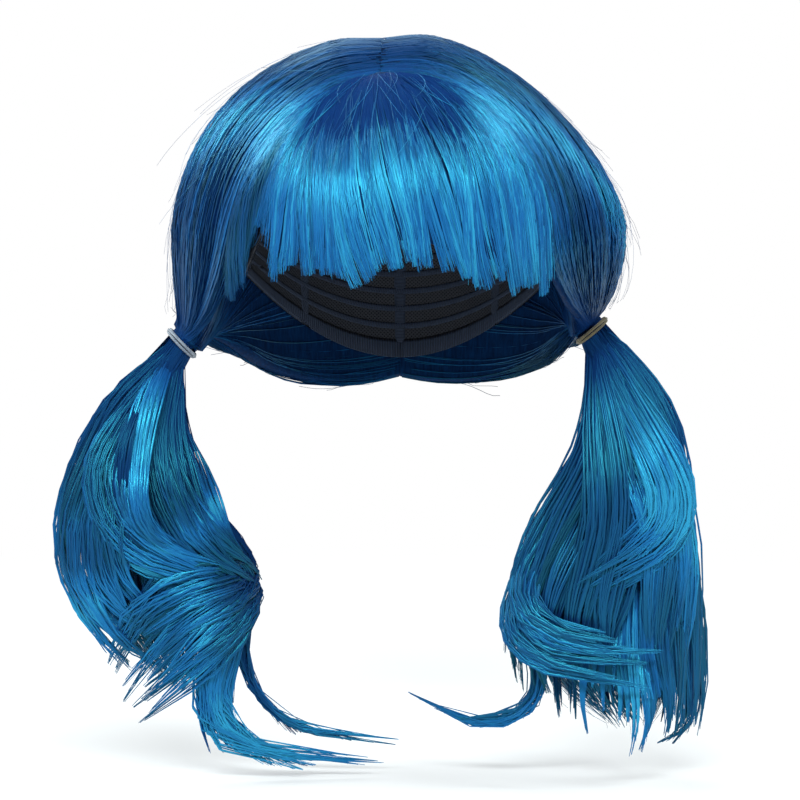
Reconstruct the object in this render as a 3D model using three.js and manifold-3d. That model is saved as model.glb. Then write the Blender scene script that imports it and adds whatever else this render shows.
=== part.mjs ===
// A pigtail wig: a net cap, two halves of combed hair that meet at a parting, a full fringe and two
// tied pigtails. Millimetres, +Z up, the face looks towards -Y, and the origin is where the crown of
// the head touches the inside of the cap. Left and right are as seen from the front.
import * as THREE from 'three';
import Module from 'manifold-3d';
import { mergeVertices } from 'three/addons/utils/BufferGeometryUtils.js';

const wasm = await Module();
wasm.setup();

// The head that the wig fits
const headWidth = 154;
const headLength = 190;
const crownHeight = 98; // from the level where the head is widest up to its crown
const napeReach = 150; // how far below that level the back of the head would close

// The net cap, its rim as an angle down from the crown, and the tab in front of each ear
const capWall = 1.2;
const rimAtFront = 58;
const rimAtSide = 88;
const rimAtBack = 117;
const earTabDrop = 9;
const earTabAzimuth = 62;
const earTabSpread = 11;

// Clearances between pieces that touch, and between curved pieces whose facets cut the corner
const touchGap = 0.3;
const seatGap = 0.9;
const seamGap = 1.3; // between the fringe and the hair beside it

// Thickness of the combed hair over the cap
const hairTop = 11.5;
const hairSide = 30;
const hairFront = 17;
const hairBack = 17;
const hairNape = 12;
const partingShare = 0.74; // thickness left at the parting
const frontEdgeShare = 0.34; // thickness left at the edge beside the fringe
const napeEdgeShare = 0.4;
const thinnestHair = 2;
const gatherReach = 30; // how far ahead of a tie the hair aims as it starts to draw together
const gatherFrom = 0.68; // where on its way to the tie it starts, as a share
const gatherSwell = 1.25; // how much wider than its neck it still is there
const neckMargin = 0.05; // share of the neck left free on either side of the head

// The parting runs over the head from the fringe to the nape, as angles back from the crown
const partingFront = -28;
const partingBack = 121;
const partingAside = -0.09; // how far to the side it starts, as a share of the head's size
const edgeDip = 0.15; // how much the front edge of the hair drops as it swings forward

// Combed locks in each half of the hair
const combedLocks = 6;
const combedGroove = 0.2; // depth of the groove between locks, as a share of the thickness

// The fringe
const fringeSpan = 0.72; // how far down the front edge of the hair its sides follow, as a share
const fringeDrop = 60; // degrees from its root to its even lower edge
const fringeSweep = 7; // degrees that its middle is combed towards the right
const fringeThickness = 9;
const fringeTipThickness = 1.6;
const fringeGroove = 0.45;
const fringeLift = 5; // how far its tips stand off the forehead
const fringeNotch = 0.03; // how much shorter it is between two locks

// The elastic ties
const tieBore = 15.6;
const tieWall = 1.1;
const tieWidth = 2.8;
const tieTurns = 2;
const tieBack = 12; // how far behind the middle of the head the ties sit

// The pigtails
const pigtailLength = 202;
const pigtailWidth = 98;
const pigtailDepth = 74;
const pigtailLobes = 7;
const pigtailLobeDepth = 0.12;
const lobeWind = 0.1; // share of a turn that the lobes wind on their way down
const lockSink = 0.96; // how near the surface of the body the middle of a lock lies
const lockTip = 0.06; // how much of a lock's size is left at its tip

const radians = THREE.MathUtils.degToRad;
const degrees = THREE.MathUtils.radToDeg;
const { lerp, smoothstep } = THREE.MathUtils;
const vector = (x, y, z) => new THREE.Vector3(x, y, z);

// Everything on the head is worked out from its centre, at the level where it is widest.
const centre = vector(0, 0, -crownHeight);

// What differs between the two sides. A tie's place is its distance out from the side of the head
// and down from the head's widest level, and its tilt is the angle of the pigtail's root from
// straight down. Shoulder is extra fullness between crown and side, and bow and late say how far the
// front edge of the hair swings forward, as a share of the head's size, and how near to the tie.
const sides = {
  left: { hand: -1, tieOut: 26, tieDown: 35, tieTilt: 46, shoulder: 6, bow: 0.28, late: 2.3 },
  right: { hand: 1, tieOut: 13.5, tieDown: 29, tieTilt: 40, shoulder: -3, bow: 0.66, late: 2.6 },
};

// Turns rows of numbers into objects with the named columns.
function table(columns, rows) {
  return rows.map((row) => Object.fromEntries(columns.map((name, k) => [name, row[k]])));
}

// The locks of the fringe from left to right: their share of its width, and how far each one hangs
// as a share of the even length. The first is the side lock that falls in front of the ear.
const fringeLocks = table(
  ['width', 'hang'],
  [
    [0.12, 1.2],
    [0.05, 0.8],
    [0.1, 1.08],
    [0.09, 1.03],
    [0.12, 1.13],
    [0.09, 1.0],
    [0.15, 1.04],
    [0.14, 1.12],
    [0.14, 1.1],
  ],
);

// The body of each pigtail: how far down each section is, as a share of the length, where its middle
// lies outwards and half its width, as shares of the width, and half its depth as a share of the depth.
const bodyColumns = ['down', 'out', 'halfWidth', 'halfDepth'];
const pigtailBodies = {
  left: table(bodyColumns, [
    [0.055, 0.11, 0.11, 0.15],
    [0.12, 0.17, 0.14, 0.22],
    [0.2, 0.21, 0.19, 0.29],
    [0.3, 0.215, 0.27, 0.36],
    [0.4, 0.17, 0.36, 0.4],
    [0.5, 0.1, 0.42, 0.4],
    [0.59, 0.07, 0.41, 0.36],
    [0.67, 0.06, 0.32, 0.28],
    [0.75, 0.03, 0.18, 0.17],
    [0.81, 0.0, 0.05, 0.06],
  ]),
  right: table(bodyColumns, [
    [0.055, 0.1, 0.12, 0.15],
    [0.12, 0.16, 0.16, 0.22],
    [0.21, 0.19, 0.2, 0.29],
    [0.32, 0.16, 0.27, 0.36],
    [0.44, 0.09, 0.36, 0.4],
    [0.56, 0.06, 0.41, 0.42],
    [0.68, 0.05, 0.43, 0.4],
    [0.79, 0.08, 0.38, 0.34],
    [0.87, 0.14, 0.26, 0.24],
    [0.93, 0.2, 0.1, 0.1],
  ]),
};

// The locks of each pigtail. A lock lies on the body from one station to another, at an angle around
// it from outwards towards the front, and winds by some degrees on the way. From there it bends
// towards its corner and ends at its tip, both given as shares of the width, depth and length. Wide
// and thick are half sizes as shares of the width.
const lockColumns = [
  'from', 'leave', 'around', 'wind', 'cornerOut', 'cornerDown', 'tipOut', 'tipFore', 'tipDown', 'wide',
  'thick',
];
const pigtailLocks = {
  left: table(lockColumns, [
    [0.1, 0.72, -10, 20, 0.46, 0.68, 0.24, 0.1, 0.83, 0.18, 0.06],
    [0.05, 0.6, 40, 130, -0.54, 0.62, 0.33, 0.48, 0.865, 0.2, 0.07],
    [0.02, 0.46, 95, -10, 0.2, 0.45, -0.16, 0.48, 0.52, 0.1, 0.05],
    [0.4, 0.72, 170, -40, -0.02, 1.02, -0.97, 0.2, 0.985, 0.13, 0.06],
    [0.5, 0.74, 185, -20, -0.36, 0.97, -1.0, 0.05, 0.955, 0.06, 0.04],
    [0.5, 0.78, 120, -20, -0.06, 0.9, -0.26, 0.2, 1.0, 0.12, 0.06],
    [0.1, 0.7, 285, -30, 0.2, 0.8, 0.08, -0.1, 0.88, 0.2, 0.08],
    [0.1, 0.7, 225, 10, -0.16, 0.78, -0.1, -0.1, 0.9, 0.2, 0.08],
  ]),
  right: table(lockColumns, [
    [0.08, 0.8, 0, 10, 0.66, 0.98, 0.22, 0.1, 0.975, 0.16, 0.07],
    [0.05, 0.42, 60, -30, 0.46, 0.51, -0.09, 0.5, 0.61, 0.14, 0.06],
    [0.1, 0.66, 120, 60, -0.46, 0.76, -0.2, 0.1, 0.86, 0.16, 0.06],
    [0.4, 0.58, 150, 0, -0.36, 0.71, 0.35, 0.5, 0.725, 0.12, 0.05],
    [0.4, 0.7, 95, 0, -0.02, 0.83, -0.02, 0.34, 0.93, 0.12, 0.06],
    [0.45, 0.72, 70, 0, 0.36, 0.88, 0.15, 0.42, 1.02, 0.15, 0.06],
    [0.5, 0.78, 150, 0, -0.28, 0.99, -0.86, 0.16, 0.85, 0.07, 0.04],
    [0.1, 0.8, 290, -20, 0.24, 0.9, 0.16, -0.1, 0.95, 0.2, 0.08],
    [0.1, 0.76, 225, 10, -0.2, 0.84, -0.08, -0.1, 0.93, 0.2, 0.08],
  ]),
};

const finishes = {
  hair: new THREE.MeshStandardMaterial({ color: 0x1c6fae, roughness: 0.42, metalness: 0.0 }),
  net: new THREE.MeshStandardMaterial({ color: 0x14161c, roughness: 0.9, metalness: 0.0 }),
  paleElastic: new THREE.MeshStandardMaterial({ color: 0xc9ccd2, roughness: 0.6, metalness: 0.0 }),
  tanElastic: new THREE.MeshStandardMaterial({ color: 0x8a8358, roughness: 0.6, metalness: 0.0 }),
};

// Six times the volume inside a closed surface, negative if its faces look inwards.
function signedVolume(points, faces) {
  let sum = 0;
  for (let i = 0; i < faces.length; i += 3) {
    const [a, b, c] = faces.slice(i, i + 3).map((index) => points[index]);
    sum += a.dot(b.clone().cross(c));
  }
  return sum;
}

// A closed solid through a stack of rings. Each ring runs once round, and each end is closed by
// joining the ring's first half to its second, so a flat strip and a round tube both close well.
function skin(rings) {
  const around = rings[0].length;
  const faces = [];
  for (let row = 0; row + 1 < rings.length; row++) {
    for (let k = 0; k < around; k++) {
      const [a, b] = [row * around + k, row * around + ((k + 1) % around)];
      faces.push(a, b, b + around, a, b + around, a + around);
    }
  }
  const last = (rings.length - 1) * around;
  for (let k = 0; k + 1 < around / 2; k++) {
    const [a, b, c, d] = [k, k + 1, around - 2 - k, around - 1 - k];
    faces.push(a, c, b, a, d, c);
    faces.push(last + a, last + b, last + c, last + a, last + c, last + d);
  }
  const points = rings.flat();
  if (signedVolume(points, faces) < 0) faces.reverse();
  const geometry = new THREE.BufferGeometry().setFromPoints(points).setIndex(faces);
  geometry.computeVertexNormals();
  return geometry;
}

// The same shape as a solid that can be joined, and back again.
function toSolid(geometry) {
  const bare = new THREE.BufferGeometry().setAttribute('position', geometry.getAttribute('position'));
  const merged = mergeVertices(bare.setIndex(geometry.index), 1e-4);
  return new wasm.Manifold(
    new wasm.Mesh({
      numProp: 3,
      vertProperties: merged.attributes.position.array,
      triVerts: new Uint32Array(merged.index.array),
    }),
  );
}

function toGeometry(solid) {
  const mesh = solid.getMesh();
  const geometry = new THREE.BufferGeometry();
  geometry.setAttribute('position', new THREE.BufferAttribute(mesh.vertProperties, 3));
  geometry.setIndex(new THREE.BufferAttribute(mesh.triVerts, 1));
  geometry.computeVertexNormals();
  return geometry;
}

// Joins solids into one, and fills the pockets that they close off between them.
function fuse(geometries) {
  const shells = wasm.Manifold.union(geometries.map(toSolid)).decompose();
  return toGeometry(shells.reduce((outer, shell) => (shell.volume() > outer.volume() ? shell : outer)));
}

// A direction from the head's centre: azimuth turns from the face towards the right, and polar is
// the angle down from the crown, in degrees.
function aim(azimuth, polar) {
  const [turn, fall] = [radians(azimuth), radians(polar)];
  return vector(Math.sin(fall) * Math.sin(turn), -Math.sin(fall) * Math.cos(turn), Math.cos(fall));
}

function headRadius(d) {
  const reach = d.z > 0 ? crownHeight : napeReach;
  return 1 / Math.hypot(d.x / (headWidth / 2), d.y / (headLength / 2), d.z / reach);
}

const capRadius = (d) => headRadius(d) + capWall;
const hairSeat = (d) => capRadius(d) + seatGap;

function hairThickness(d) {
  const top = d.z > 0 ? hairTop : hairNape;
  const behind = d.y > 0 ? hairBack : hairFront;
  const { shoulder } = d.x < 0 ? sides.left : sides.right;
  const slope = d.z > 0 ? (2 * d.z * d.x) ** 2 : 0;
  return top * d.z ** 2 + hairSide * d.x ** 2 + behind * d.y ** 2 + shoulder * slope;
}

// How deep into the groove beside a lock a place is: 1 in the groove and 0 on the lock.
const groove = (share, count) => (1 - Math.abs(Math.sin(Math.PI * count * share))) ** 2;

// The cap's rim, as an angle down from the crown.
function rimPolar(azimuth) {
  const facing = Math.cos(radians(azimuth));
  const level = lerp(rimAtSide, facing > 0 ? rimAtFront : rimAtBack, facing ** 2);
  const fromTab = (Math.abs(azimuth) - earTabAzimuth) / earTabSpread;
  return level + earTabDrop * Math.exp(-(fromTab ** 2));
}

function makeCap() {
  const columns = 32;
  const rows = [0.04, 0.16, 0.3, 0.44, 0.58, 0.72, 0.86, 1];
  const ring = (share, radius) =>
    Array.from({ length: columns }, (_, k) => {
      const azimuth = (360 * k) / columns - 180;
      const d = aim(azimuth, rimPolar(azimuth) * share);
      return d.multiplyScalar(radius(d));
    });
  const outer = rows.map((row) => ring(row, capRadius));
  const inner = rows.map((row) => ring(row, headRadius));
  return skin([...outer, ...inner.reverse()]);
}

// A tie's place and the two directions across it, measured from the head's centre.
function tieFrame({ hand, tieOut, tieDown, tieTilt }) {
  const tilt = radians(tieTilt);
  return {
    place: vector(hand * (headWidth / 2 + tieOut), tieBack, -tieDown),
    along: vector(hand * Math.sin(tilt), 0, -Math.cos(tilt)),
    fore: vector(0, -1, 0),
    away: vector(hand * Math.cos(tilt), 0, Math.sin(tilt)),
  };
}

// The direction of the hair's path at share u of the parting, from front to nape, and share v of its
// way from the parting to the tie.
function combedAim(side, u, v) {
  const root = radians(lerp(partingFront, partingBack, u));
  const start = vector(partingAside * (1 - u), Math.sin(root), Math.cos(root)).normalize();
  const end = tieFrame(side).place.normalize();
  const angle = start.angleTo(end);
  const path = start.multiplyScalar(Math.sin((1 - v) * angle)).addScaledVector(end, Math.sin(v * angle));
  const bow = side.bow * (1 - u) ** 3 * Math.sin(Math.PI * v ** side.late);
  return path.addScaledVector(vector(0, -1, -edgeDip), bow).normalize();
}

function combedPoint(side, u, v, outside) {
  const d = combedAim(side, u, v);
  const front = lerp(frontEdgeShare, 1, smoothstep(u, 0, 0.2));
  const nape = lerp(1, napeEdgeShare, smoothstep(u, 0.84, 1));
  const root = lerp(partingShare, 1, smoothstep(v, 0, 0.12));
  const lock = 1 - combedGroove * groove(u, combedLocks) * smoothstep(v, 0, 0.2);
  return d.multiplyScalar(hairSeat(d) + (outside ? hairThickness(d) * front * nape * root * lock : 0));
}

// Moves a point out along its own direction until it is off the cap by at least the given wall.
function clearOfHead(point, wall) {
  const d = point.clone().normalize();
  const least = hairSeat(d) + wall;
  return point.length() < least ? d.multiplyScalar(least) : point;
}

// Half of the hair: a shell over the cap that gathers into a round neck inside the tie.
function makeCombedHalf(side) {
  const columns = combedLocks * 4;
  const rows = [0, 0.05, 0.12, 0.2, 0.3, 0.4, 0.5, 0.6, 0.7, 0.78, 0.85, 0.91, 0.96];
  const { place, along, fore, away } = tieFrame(side);
  const neckRadius = tieBore / 2 - touchGap;
  const neckPoint = (u, outside, back, swell) => {
    const turn = Math.PI * lerp(neckMargin, 1 - neckMargin, u) * (outside ? 1 : -1);
    const across = fore.clone().multiplyScalar(Math.cos(turn)).addScaledVector(away, Math.sin(turn));
    return place.clone().addScaledVector(along, -back).addScaledVector(across, neckRadius * swell);
  };
  const ring = (point) => [
    ...Array.from({ length: columns + 1 }, (_, k) => point(k / columns, true)),
    ...Array.from({ length: columns + 1 }, (_, k) => point(1 - k / columns, false)),
  ];
  const gathered = rows.map((v) =>
    ring((u, outside) => {
      const neck = neckPoint(u, outside, tieWidth + (1 - v) * gatherReach, gatherSwell);
      const point = combedPoint(side, u, v, outside).lerp(neck, smoothstep(v, gatherFrom, 1));
      return clearOfHead(point, outside ? thinnestHair : 0);
    }),
  );
  const necks = [tieWidth, touchGap / 2].map((back) =>
    ring((u, outside) => neckPoint(u, outside, back, 1)),
  );
  return skin([...gathered, ...necks]);
}

// The side of the fringe as azimuth and polar angle: it follows the front edge of the combed hair, a
// seam in from it and down from it, and past its even length it hangs straight down.
function fringeSide(side, share) {
  const d = combedAim(side, 0, Math.min(share, 1) * fringeSpan);
  const seam = degrees(seamGap / hairSeat(d));
  const past = Math.max(share - 1, 0) * fringeDrop;
  return {
    azimuth: degrees(Math.atan2(d.x, -d.y)) - (side.hand * seam) / Math.hypot(d.x, d.y),
    polar: degrees(Math.acos(d.z)) + seam + past,
  };
}

function fringeAim(across, share) {
  const [left, right] = [sides.left, sides.right].map((side) => fringeSide(side, share));
  const sweep = fringeSweep * Math.sin(Math.PI * across) * share ** 2;
  return aim(lerp(left.azimuth, right.azimuth, across) + sweep, lerp(left.polar, right.polar, across));
}

// The columns of the fringe: their share of the way across, how far they hang, and how full they
// are, which is 1 in the middle of a lock and less in the grooves beside it.
function fringeColumns() {
  const perLock = 4;
  const edges = [0];
  for (const { width } of fringeLocks) edges.push(edges.at(-1) + width);
  const columns = [];
  fringeLocks.forEach(({ width, hang }, lock) => {
    for (let k = lock === 0 ? 0 : 1; k <= perLock; k++) {
      const across = k / perLock;
      const beside = fringeLocks[lock + (across < 0.5 ? -1 : 1)] ?? { hang };
      const notch = (2 * across - 1) ** 2;
      columns.push({
        share: edges[lock] + width * across,
        hang: lerp(hang, Math.min(hang, beside.hang) * (1 - fringeNotch), notch),
        full: 1 - fringeGroove * notch,
      });
    }
  });
  return columns;
}

function makeFringe() {
  const rows = [0.04, 0.14, 0.26, 0.38, 0.5, 0.62, 0.74, 0.85, 0.94, 1];
  const columns = fringeColumns();
  const point = ({ share, hang, full }, row, outside) => {
    const d = fringeAim(share, row * hang);
    const atSide = frontEdgeShare * hairThickness(d);
    const round = Math.sqrt(Math.abs(Math.sin(Math.PI * share)));
    const middle = lerp(atSide, fringeThickness, round) * lerp(1, full, row);
    const thickness = lerp(middle, fringeTipThickness, smoothstep(row, 0.55, 1));
    const seat = capRadius(d) + lerp(touchGap, fringeLift, row);
    return d.multiplyScalar(seat + (outside ? thickness : 0));
  };
  return skin(
    rows.map((row) => [
      ...columns.map((column) => point(column, row, true)),
      ...columns.map((column) => point(column, row, false)).reverse(),
    ]),
  );
}

// A tie: turns of flat elastic side by side, about its own Z.
function makeTie() {
  const bore = tieBore / 2;
  const turn = tieWidth / tieTurns;
  const profile = [new THREE.Vector2(bore, -tieWidth / 2)];
  for (let k = 0; k < tieTurns; k++) {
    for (const [across, out] of [[0.1, 0.6], [0.5, 1], [0.9, 0.6]]) {
      profile.push(new THREE.Vector2(bore + tieWall * out, (k + across) * turn - tieWidth / 2));
    }
  }
  profile.push(new THREE.Vector2(bore, tieWidth / 2), profile[0].clone());
  return new THREE.LatheGeometry(profile, 24);
}

// A place beside a pigtail, given as shares of its width, depth and length.
function besidePigtail(name, out, fore, down) {
  return vector(sides[name].hand * out * pigtailWidth, -fore * pigtailDepth, -down * pigtailLength);
}

// A section of a pigtail's body. Station runs from 0 at the tie to 1 at the last section.
function bodySection(name, station) {
  const sections = pigtailBodies[name];
  const at = station * (sections.length - 1);
  const k = Math.min(Math.floor(at), sections.length - 2);
  const between = (key) => lerp(sections[k][key], sections[k + 1][key], at - k);
  return {
    middle: besidePigtail(name, between('out'), 0, between('down')),
    halfWidth: between('halfWidth') * pigtailWidth,
    halfDepth: between('halfDepth') * pigtailDepth,
  };
}

// A place on a section's edge, or inside it for a size below 1. Around is an angle in degrees from
// outwards towards the front.
function bodyPoint(name, station, around, size) {
  const { middle, halfWidth, halfDepth } = bodySection(name, station);
  const turn = radians(around);
  const out = sides[name].hand * Math.cos(turn) * halfWidth * size;
  return middle.add(vector(out, -Math.sin(turn) * halfDepth * size, 0));
}

// The body: a round neck in the tie that opens into soft lobes which wind as they fall.
function makePigtailBody(name) {
  const columns = 2 * Math.ceil(pigtailLobes * 1.5);
  const { along, fore, away } = tieFrame(sides[name]);
  const neckRadius = tieBore / 2 - touchGap;
  const ring = (point) => Array.from({ length: columns }, (_, k) => point(k / columns));
  const neck = (down) =>
    ring((share) => {
      const turn = 2 * Math.PI * share;
      const across = away.clone().multiplyScalar(Math.cos(turn)).addScaledVector(fore, Math.sin(turn));
      return across.multiplyScalar(neckRadius).addScaledVector(along, down);
    });
  const lobed = pigtailBodies[name].map((_, k, all) => {
    const station = k / (all.length - 1);
    const depth = pigtailLobeDepth * smoothstep(station, 0, 0.3);
    return ring((share) => {
      const between = groove(share + station * lobeWind, pigtailLobes / 2);
      return bodyPoint(name, station, degrees(2 * Math.PI * share), 1 - depth * between);
    });
  });
  return skin([neck(touchGap / 2), neck(tieWidth), ...lobed]);
}

// The line that one lock follows: over the body, off it, round its corner and on to its tip.
function lockPath(name, lock) {
  const lying = (share) =>
    bodyPoint(name, lerp(lock.from, lock.leave, share), lock.around + lock.wind * share, lockSink);
  const tip = besidePigtail(name, lock.tipOut, lock.tipFore, lock.tipDown);
  const corner = besidePigtail(name, lock.cornerOut, 0, lock.cornerDown).setY((lying(1).y + tip.y) / 2);
  const free = new THREE.QuadraticBezierCurve3(lying(1), corner, tip).getPoints(4);
  return new THREE.CatmullRomCurve3([...[0, 0.3, 0.6, 0.85].map(lying), ...free], false, 'centripetal');
}

// One lock: a flattened, tapered body along its line, which lies flat on the pigtail.
function makePigtailLock(name, lock) {
  const path = lockPath(name, lock);
  const rows = 12;
  const around = 8;
  const heart = bodySection(name, 0.5).middle;
  const flat = vector(0.2, 1, 0.2); // turns the face of a lock towards the front or the back
  const rings = Array.from({ length: rows }, (_, row) => {
    const share = row / (rows - 1);
    const place = path.getPointAt(share);
    const tangent = path.getTangentAt(share);
    const across = place.clone().sub(heart).multiply(flat).cross(tangent).normalize();
    const lift = tangent.clone().cross(across);
    const taper = (1 - share ** 6) * smoothstep(share, -0.3, 0.4);
    const size = Math.max(taper, lockTip) * pigtailWidth;
    return Array.from({ length: around }, (_, k) => {
      const turn = (2 * Math.PI * k) / around;
      return place
        .clone()
        .addScaledVector(across, Math.cos(turn) * lock.wide * size)
        .addScaledVector(lift, Math.sin(turn) * lock.thick * size);
    });
  });
  return skin(rings);
}

function makePigtail(name) {
  return fuse([makePigtailBody(name), ...pigtailLocks[name].map((lock) => makePigtailLock(name, lock))]);
}

function piece(name, geometry, material) {
  const mesh = new THREE.Mesh(geometry, material);
  mesh.name = name;
  return mesh;
}

const wig = new THREE.Group();
const onHead = new THREE.Group();
onHead.position.copy(centre);
wig.add(onHead);
onHead.add(piece('wig_cap', makeCap(), finishes.net), piece('fringe', makeFringe(), finishes.hair));

const tieFinish = { left: finishes.paleElastic, right: finishes.tanElastic };
for (const [name, side] of Object.entries(sides)) {
  const half = new THREE.Group();
  half.position.x = (side.hand * touchGap) / 2;
  half.add(piece(`hair_${name}`, makeCombedHalf(side), finishes.hair));
  const { place, along } = tieFrame(side);
  const tie = piece(`tie_${name}`, makeTie(), tieFinish[name]);
  tie.position.copy(place);
  tie.quaternion.setFromUnitVectors(vector(0, 1, 0), along);
  const pigtail = piece(`pigtail_${name}`, makePigtail(name), finishes.hair);
  pigtail.position.copy(place);
  half.add(tie, pigtail);
  onHead.add(half);
}

export default wig;
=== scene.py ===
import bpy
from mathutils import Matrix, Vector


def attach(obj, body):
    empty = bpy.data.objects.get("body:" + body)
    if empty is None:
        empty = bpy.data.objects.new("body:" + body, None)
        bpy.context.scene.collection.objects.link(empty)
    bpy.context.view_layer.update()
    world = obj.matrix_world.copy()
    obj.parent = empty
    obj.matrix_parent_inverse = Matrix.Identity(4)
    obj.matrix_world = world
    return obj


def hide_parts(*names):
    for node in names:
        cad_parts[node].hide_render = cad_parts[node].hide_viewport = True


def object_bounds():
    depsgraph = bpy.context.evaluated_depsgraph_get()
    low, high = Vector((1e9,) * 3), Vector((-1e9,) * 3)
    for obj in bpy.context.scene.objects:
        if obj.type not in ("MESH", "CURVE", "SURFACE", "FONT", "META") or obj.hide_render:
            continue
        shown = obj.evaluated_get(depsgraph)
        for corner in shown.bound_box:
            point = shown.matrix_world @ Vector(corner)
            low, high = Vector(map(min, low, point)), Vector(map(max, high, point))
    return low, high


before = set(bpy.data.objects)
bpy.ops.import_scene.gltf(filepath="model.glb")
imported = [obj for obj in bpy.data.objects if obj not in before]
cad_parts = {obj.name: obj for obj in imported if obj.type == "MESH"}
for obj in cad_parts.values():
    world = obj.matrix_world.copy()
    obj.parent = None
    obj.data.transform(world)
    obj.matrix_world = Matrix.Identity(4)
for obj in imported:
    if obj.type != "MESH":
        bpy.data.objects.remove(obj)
solid_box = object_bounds()
print("nodes:", sorted(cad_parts))

# %% Other modules and units
import math

import bmesh
import bpy
import numpy as np
from mathutils import Matrix, Vector

MM = 0.001  # one millimetre in metres

# %% [markdown]
# ## Camera
#
# The picture was taken from straight ahead and a little above the middle of the wig, from far
# enough away that nothing bulges. A long lens at 1.6 m gives the same flat view.
# %% Camera
CAMERA_DISTANCE = 1.6
CAMERA_ELEVATION = math.radians(4.5)
CAMERA_TARGET_DOWN = 0.159  # the height that the picture is centred on, below the crown
CAMERA_LENS = 153.2
CAMERA_SENSOR = 36


def place_camera():
    """A long lens straight in front of the wig, tipped down a little."""
    data = bpy.data.cameras.new("camera")
    data.lens = CAMERA_LENS
    data.sensor_width = CAMERA_SENSOR
    camera = bpy.data.objects.new("camera", data)
    bpy.context.scene.collection.objects.link(camera)
    back = CAMERA_DISTANCE * math.cos(CAMERA_ELEVATION)
    up = CAMERA_DISTANCE * math.sin(CAMERA_ELEVATION)
    camera.location = (0, -back, up - CAMERA_TARGET_DOWN)
    camera.rotation_euler = (math.pi / 2 - CAMERA_ELEVATION, 0, 0)
    bpy.context.scene.camera = camera
    return camera


print("camera at", tuple(round(v, 3) for v in place_camera().location))

# %% [markdown]
# ## Materials written as sums
#
# A node tree is easier to read as a sum than as a drawing. The class below wraps one output
# socket, so that `1 - shade * 0.5` adds the Math nodes by itself. Every other node comes from
# `Finish.node`, which takes the node's type, its settings, and the values or links of its inputs.
# %% A small language for materials
class Value:
    """One number that changes over a surface. Sums on it add Math nodes."""

    def __init__(self, finish, socket):
        self.finish = finish
        self.socket = socket

    def sum(self, operation, *others):
        inputs = dict(enumerate(others))
        node = self.finish.node("ShaderNodeMath", {"operation": operation}, inputs)
        return Value(self.finish, node.outputs[0])

    def __add__(self, other):
        return self.sum("ADD", self, other)

    def __radd__(self, other):
        return self.sum("ADD", other, self)

    def __sub__(self, other):
        return self.sum("SUBTRACT", self, other)

    def __rsub__(self, other):
        return self.sum("SUBTRACT", other, self)

    def __mul__(self, other):
        return self.sum("MULTIPLY", self, other)

    def __rmul__(self, other):
        return self.sum("MULTIPLY", other, self)

    def sine(self):
        return self.sum("SINE", self)

    def size(self):
        return self.sum("ABSOLUTE", self)

    def larger(self, other):
        return self.sum("MAXIMUM", self, other)

    def between(self, low, high):
        """0 below low, 1 above high, and a soft step between them."""
        settings = {"interpolation_type": "SMOOTHSTEP"}
        step = self.finish.node("ShaderNodeMapRange", settings, {0: self, 1: low, 2: high})
        return Value(self.finish, step.outputs[0])


class Finish:
    """A material and the few calls that fill it with nodes."""

    def __init__(self, name):
        self.material = bpy.data.materials.new(name)
        self.material.use_nodes = True
        self.tree = self.material.node_tree
        self.tree.nodes.clear()

    def node(self, kind, settings=None, inputs=None):
        made = self.tree.nodes.new(kind)
        for key, setting in (settings or {}).items():
            setattr(made, key, setting)
        for key, given in (inputs or {}).items():
            socket = made.inputs[key]
            if isinstance(given, Value):
                self.tree.links.new(given.socket, socket)
            elif isinstance(given, bpy.types.NodeSocket):
                self.tree.links.new(given, socket)
            else:
                socket.default_value = given
        return made

    def object_place(self):
        return self.node("ShaderNodeTexCoord").outputs["Object"]

    def uv_place(self, name):
        return self.node("ShaderNodeUVMap", {"uv_map": name}).outputs[0]

    def split(self, place):
        """The first two numbers of a place."""
        made = self.node("ShaderNodeSeparateXYZ", {}, {0: place})
        return Value(self, made.outputs[0]), Value(self, made.outputs[1])

    def stretch(self, place, by):
        return self.node("ShaderNodeVectorMath", {"operation": "MULTIPLY"}, {0: place, 1: by}).outputs[0]

    def mix_shaders(self, share, first, second):
        return self.node("ShaderNodeMixShader", {}, {0: share, 1: first, 2: second}).outputs[0]

    def mix(self, share, first, second):
        """A colour between two others. Sockets 6, 7 and 2 are the node's colour ones."""
        settings = {"data_type": "RGBA", "blend_type": "MIX"}
        return self.node("ShaderNodeMix", settings, {0: share, 6: first, 7: second}).outputs[2]

    def noise(self, place, scale=1.0, detail=2.0):
        inputs = {"Vector": place, "Scale": scale, "Detail": detail}
        return Value(self, self.node("ShaderNodeTexNoise", {"noise_dimensions": "3D"}, inputs).outputs[0])

    def bump(self, height, distance, strength):
        inputs = {"Height": height, "Distance": distance, "Strength": strength}
        return self.node("ShaderNodeBump", {}, inputs).outputs[0]

    def shader(self, inputs):
        return self.node("ShaderNodeBsdfPrincipled", {}, inputs).outputs[0]

    def close(self, surface):
        self.node("ShaderNodeOutputMaterial", {}, {"Surface": surface})
        return self.material


def rgb(red, green, blue):
    return (red, green, blue, 1.0)


# %% [markdown]
# ## Floor, light and background
#
# The real picture is a plain studio one: white paper all round, a wide light above the camera and
# soft light from everywhere else. The wide light matters most. Its reflection is the bright band
# that runs across the fringe and the crown. The floor turns into pure white away from the wig, so
# no horizon shows.
# %% Floor
FLOOR_GAP = 0.0012
FLOOR_RADIUS = 6.0
FLOOR_NEAR = 0.35  # out to here the floor is paper that takes shadows
FLOOR_FAR = 0.9  # and from here it is plain white
FLOOR_WHITE = 0.3  # how much of the white is there under the wig too
FLOOR_SIDES = 96
PAPER = rgb(0.86, 0.87, 0.88)
WHITE = rgb(1, 1, 1)


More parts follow.
